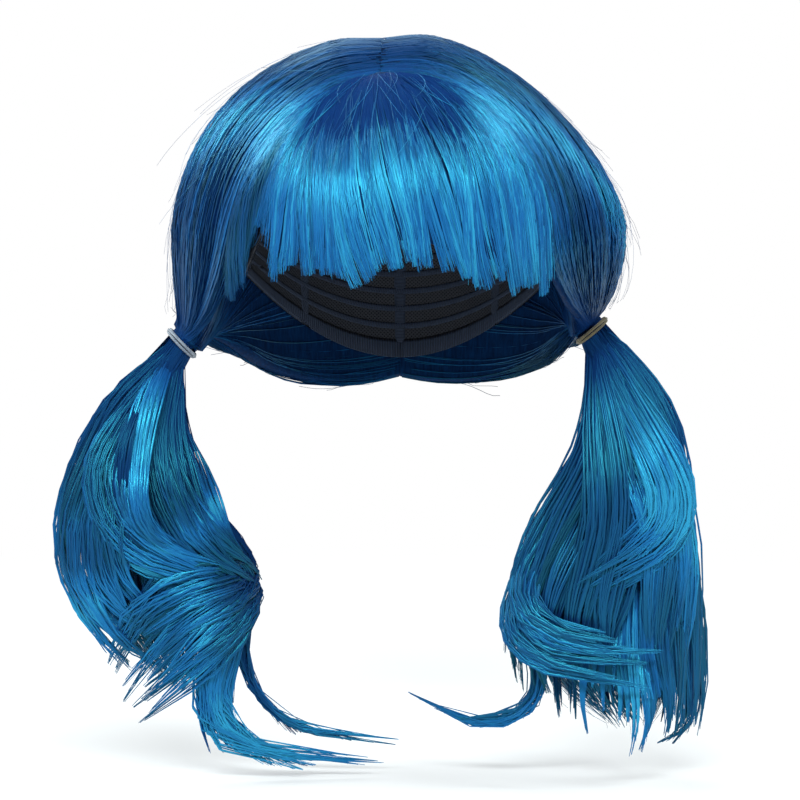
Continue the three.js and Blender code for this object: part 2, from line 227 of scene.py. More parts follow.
def lay_floor():
    """A wide disc just under the lowest hair."""
    level = solid_box[0].z - FLOOR_GAP
    bm = bmesh.new()
    bmesh.ops.create_circle(bm, cap_ends=True, segments=FLOOR_SIDES, radius=FLOOR_RADIUS)
    bmesh.ops.translate(bm, vec=(0, 0, level), verts=bm.verts)
    mesh = bpy.data.meshes.new("floor")
    bm.to_mesh(mesh)
    bm.free()
    floor = bpy.data.objects.new("floor", mesh)
    bpy.context.scene.collection.objects.link(floor)
    finish = Finish("white_paper")
    flat = finish.stretch(finish.object_place(), (1, 1, 0))
    reach = finish.node("ShaderNodeVectorMath", {"operation": "LENGTH"}, {0: flat})
    far = Value(finish, reach.outputs["Value"]).between(FLOOR_NEAR, FLOOR_FAR)
    paper = finish.node("ShaderNodeBsdfDiffuse", {}, {"Color": PAPER}).outputs[0]
    white = finish.node("ShaderNodeEmission", {}, {"Color": WHITE, "Strength": 1.0}).outputs[0]
    share = far * (1 - FLOOR_WHITE) + FLOOR_WHITE
    mesh.materials.append(finish.close(finish.mix_shaders(share, paper, white)))
    return floor


print("floor at", round(lay_floor().data.vertices[0].co.z, 4))

# %% [markdown]
# The background is a plain white world. Past the wig the camera sees it as pure white, but as a
# light it is dimmer, because white from all sides would wash the dark strands out.
# %% Background
SKY_SEEN = 1.0
SKY_LIGHT = 0.34


def light_background():
    """White where the camera looks past the wig, and dimmer as a light."""
    world = bpy.data.worlds.new("studio")
    bpy.context.scene.world = world
    world.use_nodes = True
    tree = world.node_tree
    tree.nodes.clear()
    path = tree.nodes.new("ShaderNodeLightPath")
    mix = tree.nodes.new("ShaderNodeMix")
    mix.inputs[2].default_value = SKY_LIGHT
    mix.inputs[3].default_value = SKY_SEEN
    sky = tree.nodes.new("ShaderNodeBackground")
    sky.inputs["Color"].default_value = WHITE
    out = tree.nodes.new("ShaderNodeOutputWorld")
    tree.links.new(path.outputs["Is Camera Ray"], mix.inputs[0])
    tree.links.new(mix.outputs[0], sky.inputs["Strength"])
    tree.links.new(sky.outputs[0], out.inputs["Surface"])


light_background()
bpy.context.scene.view_settings.view_transform = "Standard"
bpy.context.scene.view_settings.look = "None"

# %% [markdown]
# Four soft boxes stand round the wig. The wide one in front makes the bright band, one on each side
# lights a patch of the crown, and one behind draws a thin light edge along the top.
# %% Lights
# Where each light stands, as degrees to the right of the camera and above the floor, its distance,
# its width and height, and its power.
LIGHTS = {
    "key": (-4, 37, 2.0, 1.5, 0.36, 40),
    "left_crown": (-95, 36, 2.1, 0.8, 0.8, 25),
    "right_crown": (82, 52, 2.1, 0.8, 0.8, 17),
    "top_rim": (10, 128, 1.8, 1.2, 0.5, 10),
}
COOL_WHITE = (0.93, 1.0, 1.0)
LIGHT_AIM = (0, 0, -0.12)


def place_light(name, azimuth, elevation, distance, width, height, power):
    """A soft box that looks at the middle of the wig."""
    data = bpy.data.lights.new(name, "AREA")
    data.shape = "RECTANGLE"
    data.size = width
    data.size_y = height
    data.energy = power
    data.color = COOL_WHITE
    light = bpy.data.objects.new(name, data)
    bpy.context.scene.collection.objects.link(light)
    turn = math.radians(azimuth)
    rise = math.radians(elevation)
    back = distance * math.cos(rise)
    light.location = (
        LIGHT_AIM[0] + back * math.sin(turn),
        LIGHT_AIM[1] - back * math.cos(turn),
        LIGHT_AIM[2] + distance * math.sin(rise),
    )
    light.rotation_euler = (math.pi / 2 - rise, 0, turn)
    return light


for light_name, light_row in LIGHTS.items():
    print(light_name, tuple(round(v, 2) for v in place_light(light_name, *light_row).location))

# %% [markdown]
# ## Sums on many places at once
#
# Fibres are far too many to shape one by one, so every sum below works on whole arrays: the last
# axis of an array holds x, y and z in millimetres, and the axes before it run over the fibres and
# over the places along each fibre.
# %% Sums on arrays
def lerp(first, second, share):
    return first + (second - first) * share


def ease(value, low, high):
    """0 below low, 1 above high, and a soft step between them."""
    share = np.clip((value - low) / (high - low), 0.0, 1.0)
    return share * share * (3.0 - 2.0 * share)


def places(x, y, z):
    return np.stack(np.broadcast_arrays(x, y, z), axis=-1).astype(float)


TOO_SHORT = 1e-9  # below this length a vector has no direction


def unit(vectors):
    length = np.linalg.norm(vectors, axis=-1, keepdims=True)
    return vectors / np.maximum(length, TOO_SHORT)


def run_of(paths):
    """The direction of each path at each of its places."""
    return unit(np.gradient(paths, axis=-2))


def soften(paths, rounds):
    """Rounds the corners of paths whose ends stay where they are."""
    for _ in range(rounds):
        paths[..., 1:-1, :] = (paths[..., :-2, :] + 2 * paths[..., 1:-1, :] + paths[..., 2:, :]) / 4
    return paths


# %% [markdown]
# ## The form that the hair lies on
#
# A wig is built on the round form of its cap. The hair's place is worked out from the same named
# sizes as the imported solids, in millimetres: a direction from the middle of that form gives the
# height of the cap there and the thickness of the hair on it.
# %% Inner form, cap and thickness of the hair
INNER_WIDTH = 154
INNER_LENGTH = 190
CROWN_HEIGHT = 98
NAPE_REACH = 150
CAP_WALL = 1.2
TOUCH_GAP = 0.3
SEAT_GAP = 0.9
SEAM_GAP = 1.3
HAIR_TOP = 11.5
HAIR_SIDE = 30
HAIR_FRONT = 17
HAIR_BACK = 17
HAIR_NAPE = 12
CENTRE = np.array([0.0, 0.0, -CROWN_HEIGHT])

# The two sides of the wig, left and right as seen from the front.
SIDES = {
    "left": {"hand": -1, "out": 26, "down": 35, "tilt": 46, "shoulder": 6, "bow": 0.28, "late": 2.3},
    "right": {"hand": 1, "out": 13.5, "down": 29, "tilt": 40, "shoulder": -3, "bow": 0.66, "late": 2.6},
}


def inner_radius(d):
    reach = np.where(d[..., 2] > 0, CROWN_HEIGHT, NAPE_REACH)
    x = d[..., 0] / (INNER_WIDTH / 2)
    y = d[..., 1] / (INNER_LENGTH / 2)
    z = d[..., 2] / reach
    return 1.0 / np.sqrt(x * x + y * y + z * z)


def cap_radius(d):
    return inner_radius(d) + CAP_WALL


def hair_seat(d):
    return cap_radius(d) + SEAT_GAP


def hair_thickness(d):
    x, y, z = d[..., 0], d[..., 1], d[..., 2]
    top = np.where(z > 0, HAIR_TOP, HAIR_NAPE)
    behind = np.where(y > 0, HAIR_BACK, HAIR_FRONT)
    shoulder = np.where(x < 0, SIDES["left"]["shoulder"], SIDES["right"]["shoulder"])
    slope = np.where(z > 0, (2 * z * x) ** 2, 0)
    return top * z**2 + HAIR_SIDE * x**2 + behind * y**2 + shoulder * slope


def groove(share, count):
    """1 in the groove between two locks and 0 on a lock."""
    return (1 - np.abs(np.sin(np.pi * count * share))) ** 2


# %% [markdown]
# ## The combed halves
#
# Each half of the hair runs from the parting over the side of the cap into its tie. Share u runs
# along the parting from the fringe to the nape, share v runs along the hair from the parting to
# the tie, and depth is 0 on the cap and 1 on the outside. These three place every fibre.
# %% Where the hair of a half lies
# Where the parting starts and ends, in degrees from straight up and towards the back.
PARTING_FRONT = -28
PARTING_BACK = 121
PARTING_ASIDE = -0.09  # at its front the parting lies a little to the left
EDGE_DIP = 0.15
# How thick the hair is at its edges, as a share of the thickness further in.
PARTING_SHARE = 0.74
FRONT_EDGE = 0.34
NAPE_EDGE = 0.4
# Between which shares of u or v the hair goes over from one thickness to the other.
PARTING_FADE = (0, 0.12)
FRONT_EDGE_FADE = (0, 0.2)
NAPE_EDGE_FADE = (0.84, 1)
# The grooves between the locks of a half.
COMBED_LOCKS = 6
COMBED_GROOVE = 0.2
LOCK_FADE = (0, 0.2)
THINNEST = 2
# The tie, and how the hair gathers before it.
TIE_BORE = 15.6
TIE_WIDTH = 2.8
TIE_BACK = 12
NECK_RADIUS = TIE_BORE / 2 - TOUCH_GAP
NECK_MARGIN = 0.05
GATHER_REACH = 30
GATHER_FROM = 0.68
GATHER_SWELL = 1.25


def tie_place(side):
    return np.array([side["hand"] * (INNER_WIDTH / 2 + side["out"]), TIE_BACK, -side["down"]])


def tie_along(side):
    tilt = math.radians(side["tilt"])
    return np.array([side["hand"] * math.sin(tilt), 0, -math.cos(tilt)])


def tie_away(side):
    tilt = math.radians(side["tilt"])
    return np.array([side["hand"] * math.cos(tilt), 0, math.sin(tilt)])


TIE_FORE = np.array([0.0, -1.0, 0.0])


def combed_aim(side, u, v):
    """The direction from the middle of the cap to a place in the combed hair."""
    root = np.radians(lerp(PARTING_FRONT, PARTING_BACK, u))
    start = unit(places(PARTING_ASIDE * (1 - u), np.sin(root), np.cos(root)))
    end = unit(tie_place(side))
    angle = np.arccos(np.clip((start * end).sum(-1), -1, 1))
    path = start * np.sin((1 - v) * angle)[..., None] + end * np.sin(v * angle)[..., None]
    bow = side["bow"] * (1 - u) ** 3 * np.sin(np.pi * v ** side["late"])
    return unit(path + bow[..., None] * np.array([0, -1, -EDGE_DIP]))


def neck_place(side, u, depth, back, swell):
    """A place in the round neck of hair that runs into the tie."""
    turn = np.pi * lerp(NECK_MARGIN, 1 - NECK_MARGIN, u)
    outward = (2 * depth - 1) * np.sin(turn)
    across = np.cos(turn)[..., None] * TIE_FORE + outward[..., None] * tie_away(side)
    behind = np.asarray(back)[..., None] * tie_along(side)
    return tie_place(side) - behind + across * NECK_RADIUS * swell


def combed_place(side, u, v, depth):
    """A place in a half of the hair, from the parting to just before the tie."""
    u, v, depth = np.broadcast_arrays(u, v, depth)
    d = combed_aim(side, u, v)
    front = lerp(FRONT_EDGE, 1, ease(u, *FRONT_EDGE_FADE))
    nape = lerp(1, NAPE_EDGE, ease(u, *NAPE_EDGE_FADE))
    root = lerp(PARTING_SHARE, 1, ease(v, *PARTING_FADE))
    lock = 1 - COMBED_GROOVE * groove(u, COMBED_LOCKS) * ease(v, *LOCK_FADE)
    full = hair_thickness(d) * front * nape * root * lock
    on_cap = d * (hair_seat(d) + depth * full)[..., None]
    neck = neck_place(side, u, depth, TIE_WIDTH + (1 - v) * GATHER_REACH, GATHER_SWELL)
    place = lerp(on_cap, neck, ease(v, GATHER_FROM, 1)[..., None])
    out = unit(place)
    least = hair_seat(out) + THINNEST * np.minimum(depth, 1)
    short = np.maximum(least - np.linalg.norm(place, axis=-1), 0)
    return place + out * short[..., None]


def beside(name, points, apart=TOUCH_GAP / 2):
    """Moves places measured from the middle of the cap to their side of the wig."""
    return points + CENTRE + np.array([SIDES[name]["hand"] * apart, 0, 0])


# %% [markdown]
# ## Fibres
#
# A bundle of real fibres is drawn as one thin strand. Blender's hair curves would be the usual
# choice, but a plain model holds meshes only, so each strand is a slim closed tube with three
# sides, and all strands of a piece are one mesh, made at once from arrays. The ridge between two
# sides faces outwards, and the tube is flatter than it is wide, as combed hair lies. Its own
# normals turn only part of the way round, so that strands side by side shine as one smooth sheet.
#
# Each place on a strand has a shade, from 0 for the darkest to 1 for the lightest. In the piece's
# own UV map the shade runs across and the way from root to tip runs up. A place there always means
# the same look, so strands may lie over each other in it and the colours can still be baked.
# %% Build strands from arrays
STRIP = 0.0125  # width of a strand in the UV map
STRIP_END = 0.01  # how much of its length an end face takes there
STRAND_FLATNESS = 0.5
STRAND_ROUNDNESS = math.radians(44)  # how far the shading turns from the middle of a strand to its edge
SHEET_ROUNDNESS = math.radians(30)  # the same where the strands look like one sheet
CORNERS = [(0.0, 1.0), (-0.87, -0.5), (0.87, -0.5)]


def strand_rings(paths, outward, half_widths, roundness):
    """Three corners round each place of each path, and the directions that each is shaded for.

    The first directions are for the two sides that face out, the second for the side underneath.
    """
    along = run_of(paths)
    side = unit(np.cross(along, outward))
    lift = np.cross(side, along)
    rings, facing, under = [], [], []
    for across, up in CORNERS:
        offset = side * across + lift * up * STRAND_FLATNESS
        rings.append(paths + offset * half_widths[..., None])
        lean = np.sign(across) * roundness
        facing.append(lift * math.cos(lean) + side * math.sin(lean))
        under.append(side * math.sin(lean) - lift * math.cos(lean))
    return tuple(np.stack(corners, axis=2) for corners in (rings, facing, under))


def strand_faces(count, length):
    """Corner numbers of every face of count strands, and its place round and along its strand."""
    strand = np.arange(count)[:, None, None] * length * 3
    ring = np.arange(length - 1)[None, :, None] * 3
    corner = np.arange(3)[None, None, :]
    following = (corner + 1) % 3
    base = strand + ring
    quads = np.stack([base + corner, base + corner + 3, base + following + 3, base + following], axis=-1)
    first = strand[:, 0, :] + np.array([0, 1, 2])
    last = strand[:, 0, :] + (length - 1) * 3 + np.array([2, 1, 0])
    return quads.reshape(-1, 4), np.concatenate([first, last])


def strand_normals(along, facing, under):
    """The direction that every face corner is shaded for, in the same order as the faces."""
    quads = []
    for corner, table in enumerate((facing, under, facing)):
        following = (corner + 1) % 3
        low, high = table[:, :-1], table[:, 1:]
        around = (low[:, :, corner], high[:, :, corner], high[:, :, following], low[:, :, following])
        quads.append(np.stack(around, axis=2))
    ends = [np.repeat(way, 3, axis=0) for way in (-along[:, 0], along[:, -1])]
    return np.concatenate([np.stack(quads, axis=2).reshape(-1, 3), *ends])


def strand_map(shades, up):
    """The UV place of every face corner, in the same order as the faces."""
    left = np.clip(shades, 0, 1) * (1 - STRIP)
    quads = []
    for corner in range(3):
        across = STRIP * np.array([corner, corner, corner + 1, corner + 1]) / 3
        beside_it, above_it = (
            np.stack([row[:, :-1], row[:, 1:], row[:, 1:], row[:, :-1]], axis=-1) for row in (left, up)
        )
        quads.append(np.stack([beside_it + across, above_it], axis=-1))
    ends = []
    for place, depth in ((0, STRIP_END), (-1, -STRIP_END)):
        end_left = left[:, place, None] + STRIP * np.array([0, 0.5, 1])
        end_up = up[:, place, None] + depth * np.array([0, 1, 0])
        ends.append(np.stack([end_left, end_up], axis=-1).reshape(-1, 2))
    return np.concatenate([np.stack(quads, axis=2).reshape(-1, 2), *ends])


def make_strands(name, paths, outward, half_widths, shades, finish, up=None, roundness=STRAND_ROUNDNESS):
    """One mesh of closed strands. Paths and half widths are in millimetres.

    Shades has one number for each strand, or one for each of its places. Up has the height of each
    place in the UV map, which runs evenly from 0 at the root to 1 at the tip unless it is given.
    """
    count, length, _ = paths.shape
    up = np.broadcast_to(np.linspace(0, 1, length) if up is None else up, (count, length))
    shades = np.broadcast_to(np.reshape(shades, (count, -1)), (count, length))
    rings, facing, under = strand_rings(paths, outward, half_widths, roundness)
    quads, caps = strand_faces(count, length)
    corners = np.concatenate([quads.ravel(), caps.ravel()]).astype(np.int32)
    first = np.concatenate([np.arange(len(quads)) * 4, len(quads) * 4 + np.arange(len(caps)) * 3])
    mesh = bpy.data.meshes.new(name)
    mesh.vertices.add(count * length * 3)
    mesh.vertices.foreach_set("co", (rings * MM).astype(np.float32).ravel())
    mesh.loops.add(len(corners))
    mesh.loops.foreach_set("vertex_index", corners)
    mesh.polygons.add(len(first))
    mesh.polygons.foreach_set("loop_start", first.astype(np.int32))
    mesh.update(calc_edges=True)
    mesh.shade_smooth()
    mesh.normals_split_custom_set(strand_normals(run_of(paths), facing, under))
    layer = mesh.uv_layers.new(name="OFBake")
    layer.data.foreach_set("uv", strand_map(shades, up).astype(np.float32).ravel())
    mesh.materials.append(finish)
    piece = bpy.data.objects.new(name, mesh)
    bpy.context.scene.collection.objects.link(piece)
    print(name, count, "strands,", 2 * len(quads) + len(caps), "triangles")
    return piece


# %% [markdown]
# ## Finish of the hair
#
# The fibre is a glossy synthetic one. Its body colour is a deep blue, and its gloss is cyan, which
# is what turns the highlight from blue to turquoise. Dark and light strands lie mixed. At the
# roots the hair stands up and shades itself, and at the ties it is pressed together. There the
# colour holds painted shade: a darker, deeper blue that shines less. The material reads the
# strands' own UV map: across it runs the shade, and up it runs the way from root to tip.
# %% Blue fibre
# Strand colours from the darkest to the lightest. The last, cyan one is a painted highlight colour, which
# the lightened parts of the strands reach.
FIBRE_SHADES = [
    rgb(0.002, 0.009, 0.052), rgb(0.004, 0.025, 0.125), rgb(0.008, 0.087, 0.3), rgb(0.025, 0.26, 0.48),
]
FIBRE_GLOSS = rgb(0.07, 0.82, 1.0)
FIBRE_IOR = 1.85
FIBRE_ROUGHNESS = 0.2
DARK_ROUGHER = 0.12
STREAKS = (40, 7, 0)  # how fast the streaks change from shade to shade and along a strand
STREAK_DETAIL = 3.0
STREAK_TONE = 0.3
STREAK_ROUGHER = 0.14
STREAK_SHADOW = 0.5
STREAK_BUMP = (0.0002, 0.3)  # its height in metres and its strength
# The painted shade at the roots and by the ties is this darker, deeper blue.
PAINTED_SHADE_COLOUR = rgb(0.004, 0.026, 0.12)
DULL_IOR = 1.1
DULL_ROUGHNESS = 0.6
TIP_SHADOW_FROM = 0.6
TIP_SHADOW_TO = 0.85


def hair_finish(name, root_shadow, root_from, root_to, tip_shadow=0.0):
    """Glossy fibre with painted shade, darker and less glossy, at its root and, if asked, towards its tip.

    The root's shadow fades out between two shares of the length.
    """
    finish = Finish(name)
    place = finish.uv_place("OFBake")
    shade, along = finish.split(place)
    streak = finish.noise(finish.stretch(place, STREAKS), detail=STREAK_DETAIL)
    tone = (shade + (streak - 0.5) * STREAK_TONE) * (len(FIBRE_SHADES) - 1)
    uneven = 1 - STREAK_SHADOW / 2 + streak * STREAK_SHADOW
    at_root = (1 - along.between(root_from, root_to)) * root_shadow * uneven
    # Painted shade: how much of the darker, less glossy blue lies at the root and towards the tip.
    painted_shade = at_root.larger(along.between(TIP_SHADOW_FROM, TIP_SHADOW_TO) * tip_shadow)
    colour = FIBRE_SHADES[0]
    for step, lighter in enumerate(FIBRE_SHADES[1:]):
        colour = finish.mix(tone.between(step, step + 1), colour, lighter)
    glossy = {
        "Base Color": colour,
        "Roughness": FIBRE_ROUGHNESS + streak * STREAK_ROUGHER + (1 - shade) * DARK_ROUGHER,
        "Normal": finish.bump(streak, *STREAK_BUMP),
        "IOR": FIBRE_IOR,
        "Specular Tint": FIBRE_GLOSS,
    }
    painted_shade_surface = {
        "Base Color": PAINTED_SHADE_COLOUR,
        "Roughness": DULL_ROUGHNESS,
        "IOR": DULL_IOR,
        "Specular Tint": FIBRE_GLOSS,
    }
    return finish.close(finish.mix_shaders(painted_shade, finish.shader(glossy), finish.shader(painted_shade_surface)))


# The painted shade: how strong it is at the root, the shares between which it fades, and how strong it is
# towards the tip.
combed_fibre = hair_finish("combed_fibre", 0.5, 0.06, 0.3, 0.7)
fringe_fibre = hair_finish("fringe_fibre", 1.0, 0.44, 0.66)
pigtail_fibre = hair_finish("pigtail_fibre", 0.75, 0.08, 0.44)

# %% [markdown]
# Under the strands lies the same hair seen in its own shade. It is a closed body a little smaller
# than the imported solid, so that no light shines through between strands.
# %% Shaded hair under the strands
SHADED_STREAKS = (900, 500, 60)  # how fast the streaks change across, from front to back and down
SHADED_DETAIL = 4.0
SHADED_BUMP = (0.0006, 0.6)
SHADED_ROUGHNESS = (0.5, 0.7)
SHADED_FADE = (0.3, 0.75)
SHADED_DARK = rgb(0.003, 0.014, 0.055)
SHADED_LIGHT = rgb(0.004, 0.030, 0.105)


def under_finish():
    finish = Finish("shaded_fibre")
    streak = finish.noise(finish.stretch(finish.object_place(), SHADED_STREAKS), detail=SHADED_DETAIL)
    surface = {
        "Base Color": finish.mix(streak.between(*SHADED_FADE), SHADED_DARK, SHADED_LIGHT),
        "Roughness": lerp(*SHADED_ROUGHNESS, streak),
        "Normal": finish.bump(streak, *SHADED_BUMP),
        "IOR": DULL_IOR,
        "Specular Tint": FIBRE_GLOSS,
    }
    return finish.close(finish.shader(surface))


shaded_fibre = under_finish()


def dress(piece, slot, *nodes):
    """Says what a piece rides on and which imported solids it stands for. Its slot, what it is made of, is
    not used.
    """
    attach(piece, "root")
    if nodes:
        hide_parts(*nodes)


def add_piece(name, bm, finish):
    """Turns a bmesh into an object at the origin."""
    mesh = bpy.data.meshes.new(name)
    bm.to_mesh(mesh)
    bm.free()
    mesh.shade_smooth()
    mesh.materials.append(finish)
    piece = bpy.data.objects.new(name, mesh)
    bpy.context.scene.collection.objects.link(piece)
    print(name, sum(len(face.vertices) - 2 for face in mesh.polygons), "triangles")
    return piece


def pad_between(name, outside, inside, steps):
    """A closed body between two grids laid over the same patch, joined round their edges."""
    bm = bmesh.new()
    for place in (outside, inside):
        laid = bmesh.ops.create_grid(bm, x_segments=steps[0], y_segments=steps[1], size=0.5)["verts"]
        flat = np.array([vert.co for vert in laid]) + 0.5
        moved = place(flat[:, 0], flat[:, 1]) * MM
        for vert, spot in zip(laid, moved):
            vert.co = spot
    rims = [edge for edge in bm.edges if edge.is_boundary]
    bmesh.ops.bridge_loops(bm, edges=rims)
    bmesh.ops.recalc_face_normals(bm, faces=bm.faces)
    return add_piece(name, bm, shaded_fibre)


# %% [markdown]
# The bodies are padded sheets. One grid is laid over the outside of a half and one over its inside,
# both by the three shares, and their edges are bridged.
# %% Bodies under the combed halves
UNDER_DEPTH = 0.8  # how far out the shaded body reaches, as a share of the thickness
UNDER_INSIDE = 0.04  # and how far its inside stays off the cap
UNDER_REACH = 0.96  # and how near it comes to the tie
UNDER_STEPS = (72, 40)
HALVES_MEET = -0.1  # the loose hair of the two halves meets, so no light shows between them


def make_combed_under(name):
    side = SIDES[name]

    def sheet(depth):
        def place(u, v):
            spots = combed_place(side, u, v * UNDER_REACH, np.full_like(u, depth))
            return beside(name, spots, HALVES_MEET)

        return place

    return pad_between("under_hair_" + name, sheet(UNDER_DEPTH), sheet(UNDER_INSIDE), UNDER_STEPS)


for side_name in SIDES:
    dress(make_combed_under(side_name), "hair", "hair_" + side_name)

# %% [markdown]
# The strands of a half are combed but not machine-made: they gather in small clumps, each clump
# sways a little from side to side, and each strand strays a little from its clump. Most strands lie
# on the outside. Some line the inside, where they show below the cap, and some close the edge in
# front of the ear and the edge at the nape.
# %% Strands of the combed halves
COMBED_AT = np.array([0, 0.03, 0.07, 0.13, 0.2, 0.28, 0.36, 0.44, 0.52, 0.6, 0.68, 0.76, 0.84, 0.91, 0.97])
# Strands in each layer: how many, the range of u, and the range of depth.
COMBED_LAYERS = {
    "outside": (1350, (0.0, 1.0), (0.87, 1.0)),
    "front_edge": (100, (0.0, 0.03), (0.1, 1.0)),
    "nape_edge": (70, (0.97, 1.0), (0.0, 1.0)),
    "lining": (220, (0.0, 1.0), (0.0, 0.1)),
}
COMBED_SEEDS = {"left": 11, "right": 12}
COMBED_CLUMPS = 90
COMBED_GATHER = 0.35  # how far a strand is drawn to the middle of its clump
COMBED_GATHER_FADE = (0.1, 0.9)
COMBED_OUTWARDS = 1.6  # above 1, more of the strands lie on the outside
COMBED_START = 0.05  # how far below the parting the last strands start
COMBED_SWAY = 1.8
COMBED_SWAY_END = 0.8  # from here the tie holds the strands still
COMBED_WAVES = (0.8, 2.4)
# The halves are painted darker than the fringe, as painted shade where they face away from the light in
# front.
COMBED_SHADE = 0.26
COMBED_NECK = 0.96  # how full the strands fill the neck inside the tie
CLUMP_SHADES = 0.12
STRAND_SHADES = 0.1
STRAND_SWAY = 0.45
# Each half has a painted highlight on its crown: where it is in v at u 0, and how much further for u.
CROWN_HIGHLIGHT = {"left": (0.27, 1.1), "right": (0.25, 2.1)}
CROWN_HIGHLIGHT_REACH = 0.17
CROWN_HIGHLIGHT_LIGHTER = 0.62
CROWN_HIGHLIGHT_FADE = (0.15, 0.5)
STRAND_HALF_WIDTH = (0.22, 0.42)
STEP_SHIFT = 0.45
SWAY_FADE = 0.15
SWAY_UNEVEN = 0.3
FLOW_WAVES = 7
FLOW_FADE = 0.25
FLOW_ACROSS = (1.5, 11)
FLOW_ALONG = (0.3, 1.2)


def shift_steps(chance, count, at):
    """Moves the places along each strand a little, so that no facets line up between strands."""
    gap = np.diff(at)
    room = np.concatenate([[0], np.minimum(gap[:-1], gap[1:]), [0]])
    return at + chance.uniform(-STEP_SHIFT, STEP_SHIFT, (count, 1)) * room


def sway(chance, count, at, waves, size):
    """A gentle side to side movement of each strand, still at both ends."""
    phase = chance.random((count, 1)) * 2 * np.pi
    pace = chance.uniform(*waves, (count, 1)) * 2 * np.pi
    swell = ease(at, 0, SWAY_FADE) * (1 - ease(at, 1 - SWAY_FADE, 1))
    return size * chance.normal(1, SWAY_UNEVEN, (count, 1)) * np.sin(pace * at + phase) * swell


def flow(chance, across, at, size):
    """A slow side to side drift that neighbouring strands share."""
    drift = np.zeros(np.broadcast_shapes(np.shape(across), np.shape(at)))
    for _ in range(FLOW_WAVES):
        turns = chance.uniform(*FLOW_ACROSS) * across + chance.uniform(*FLOW_ALONG) * at + chance.random()
        drift = drift + np.sin(2 * np.pi * turns)
    return size * drift * ease(at, 0, FLOW_FADE) / math.sqrt(FLOW_WAVES)


def make_combed_half(name):
    side = SIDES[name]
    chance = np.random.default_rng(COMBED_SEEDS[name])
    paths, shades, facing = [], [], []
    clump_shade = chance.normal(0, CLUMP_SHADES, COMBED_CLUMPS)
    for count, (u_low, u_high), (low, high) in COMBED_LAYERS.values():
        at = shift_steps(chance, count, COMBED_AT)
        at = lerp(COMBED_START * chance.random((count, 1)) ** 2, 1, at)
        loose = chance.uniform(u_low, u_high, (count, 1))
        clump = np.minimum(loose * COMBED_CLUMPS, COMBED_CLUMPS - 1).astype(int)
        heart = np.clip((clump + 0.5) / COMBED_CLUMPS, u_low, u_high)
        u = lerp(loose, heart, COMBED_GATHER * ease(at, *COMBED_GATHER_FADE))
        depth = high - (high - low) * chance.random((count, 1)) ** COMBED_OUTWARDS
        path = combed_place(side, u, at, depth)
        across = unit(np.cross(run_of(path), unit(path)))
        drift = flow(chance, loose, at, COMBED_SWAY) * (1 - ease(at, COMBED_SWAY_END, 1))
        drift = drift + sway(chance, count, at, COMBED_WAVES, STRAND_SWAY)
        path = path + across * (drift * ease(high, 0, 0.5))[..., None]
        necks = [
            neck_place(side, u[:, -1:], depth[:, -1:], np.full((count, 1), back), COMBED_NECK)
            for back in (TIE_WIDTH, TOUCH_GAP / 2)
        ]
        paths.append(np.concatenate([path, *necks], axis=1))
        facing.append(np.full(count, 1.0 if high > 0.5 else -1.0))
        # The painted highlight lightens each strand where it crosses the band of light on the crown.
        first, further = CROWN_HIGHLIGHT[name]
        off_highlight = ease(np.abs(at - first - further * u), 0, CROWN_HIGHLIGHT_REACH)
        off_highlight = off_highlight + ease(u, *CROWN_HIGHLIGHT_FADE)
        lighter = CROWN_HIGHLIGHT_LIGHTER * np.maximum(1 - off_highlight, 0)
        shade = COMBED_SHADE + clump_shade[clump] + chance.normal(0, STRAND_SHADES, (count, 1)) + lighter
        shades.append(np.concatenate([shade, shade[:, -1:], shade[:, -1:]], axis=1))
    paths = np.concatenate(paths)
    outward = unit(paths) * np.concatenate(facing)[:, None, None]
    paths = beside(name, paths, HALVES_MEET)
    half = chance.uniform(*STRAND_HALF_WIDTH, (len(paths), 1)) * np.ones((1, paths.shape[1]))
    shades = np.concatenate(shades)
    return make_strands("hair_strands_" + name, paths, outward, half, shades, combed_fibre)


for side_name in SIDES:
    dress(make_combed_half(side_name), "hair", "hair_" + side_name)

# %% [markdown]
# ## The fringe
#
# The fringe starts at the front of the parting and falls over the brow. Its width is cut up into
# locks, each with its own length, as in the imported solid. The hair bends a little to the right as
# it falls, and its tips draw together into small points.
# %% Where the fringe lies
FRINGE_SPAN = 0.72
FRINGE_DROP = 60
FRINGE_SWEEP = 7
FRINGE_THICKNESS = 9
FRINGE_TIP_THICKNESS = 1.6
FRINGE_GROOVE = 0.45
FRINGE_LIFT = 5
FRINGE_NOTCH = 0.03
CUT_BLUR = 0.03
CUT_END = 0.9999  # the last place of the last lock, just short of the fringe's end
FRINGE_THINS = (0.55, 1)  # between these shares of its fall it thins out to its tips
# The locks from left to right: their share of the width, and how far they hang.
FRINGE_LOCKS = np.array([
    (0.12, 1.2), (0.05, 0.8), (0.1, 1.08), (0.09, 1.03), (0.12, 1.1), (0.09, 1.0), (0.15, 1.04),
    (0.14, 1.12), (0.14, 1.1),
])


def fringe_side(side, share):
    d = combed_aim(side, np.zeros_like(share), np.minimum(share, 1) * FRINGE_SPAN)
    seam = np.degrees(SEAM_GAP / hair_seat(d))
    flat = np.hypot(d[..., 0], d[..., 1])
    azimuth = np.degrees(np.arctan2(d[..., 0], -d[..., 1])) - side["hand"] * seam / flat
    polar = np.degrees(np.arccos(d[..., 2])) + seam + np.maximum(share - 1, 0) * FRINGE_DROP
    return azimuth, polar


def fringe_aim(across, share):
    left, right = (fringe_side(SIDES[name], share) for name in ("left", "right"))
    sweep = FRINGE_SWEEP * np.sin(np.pi * across) * share**2
    azimuth = np.radians(lerp(left[0], right[0], across) + sweep)
    polar = np.radians(lerp(left[1], right[1], across))
    return places(np.sin(polar) * np.sin(azimuth), -np.sin(polar) * np.cos(azimuth), np.cos(polar))


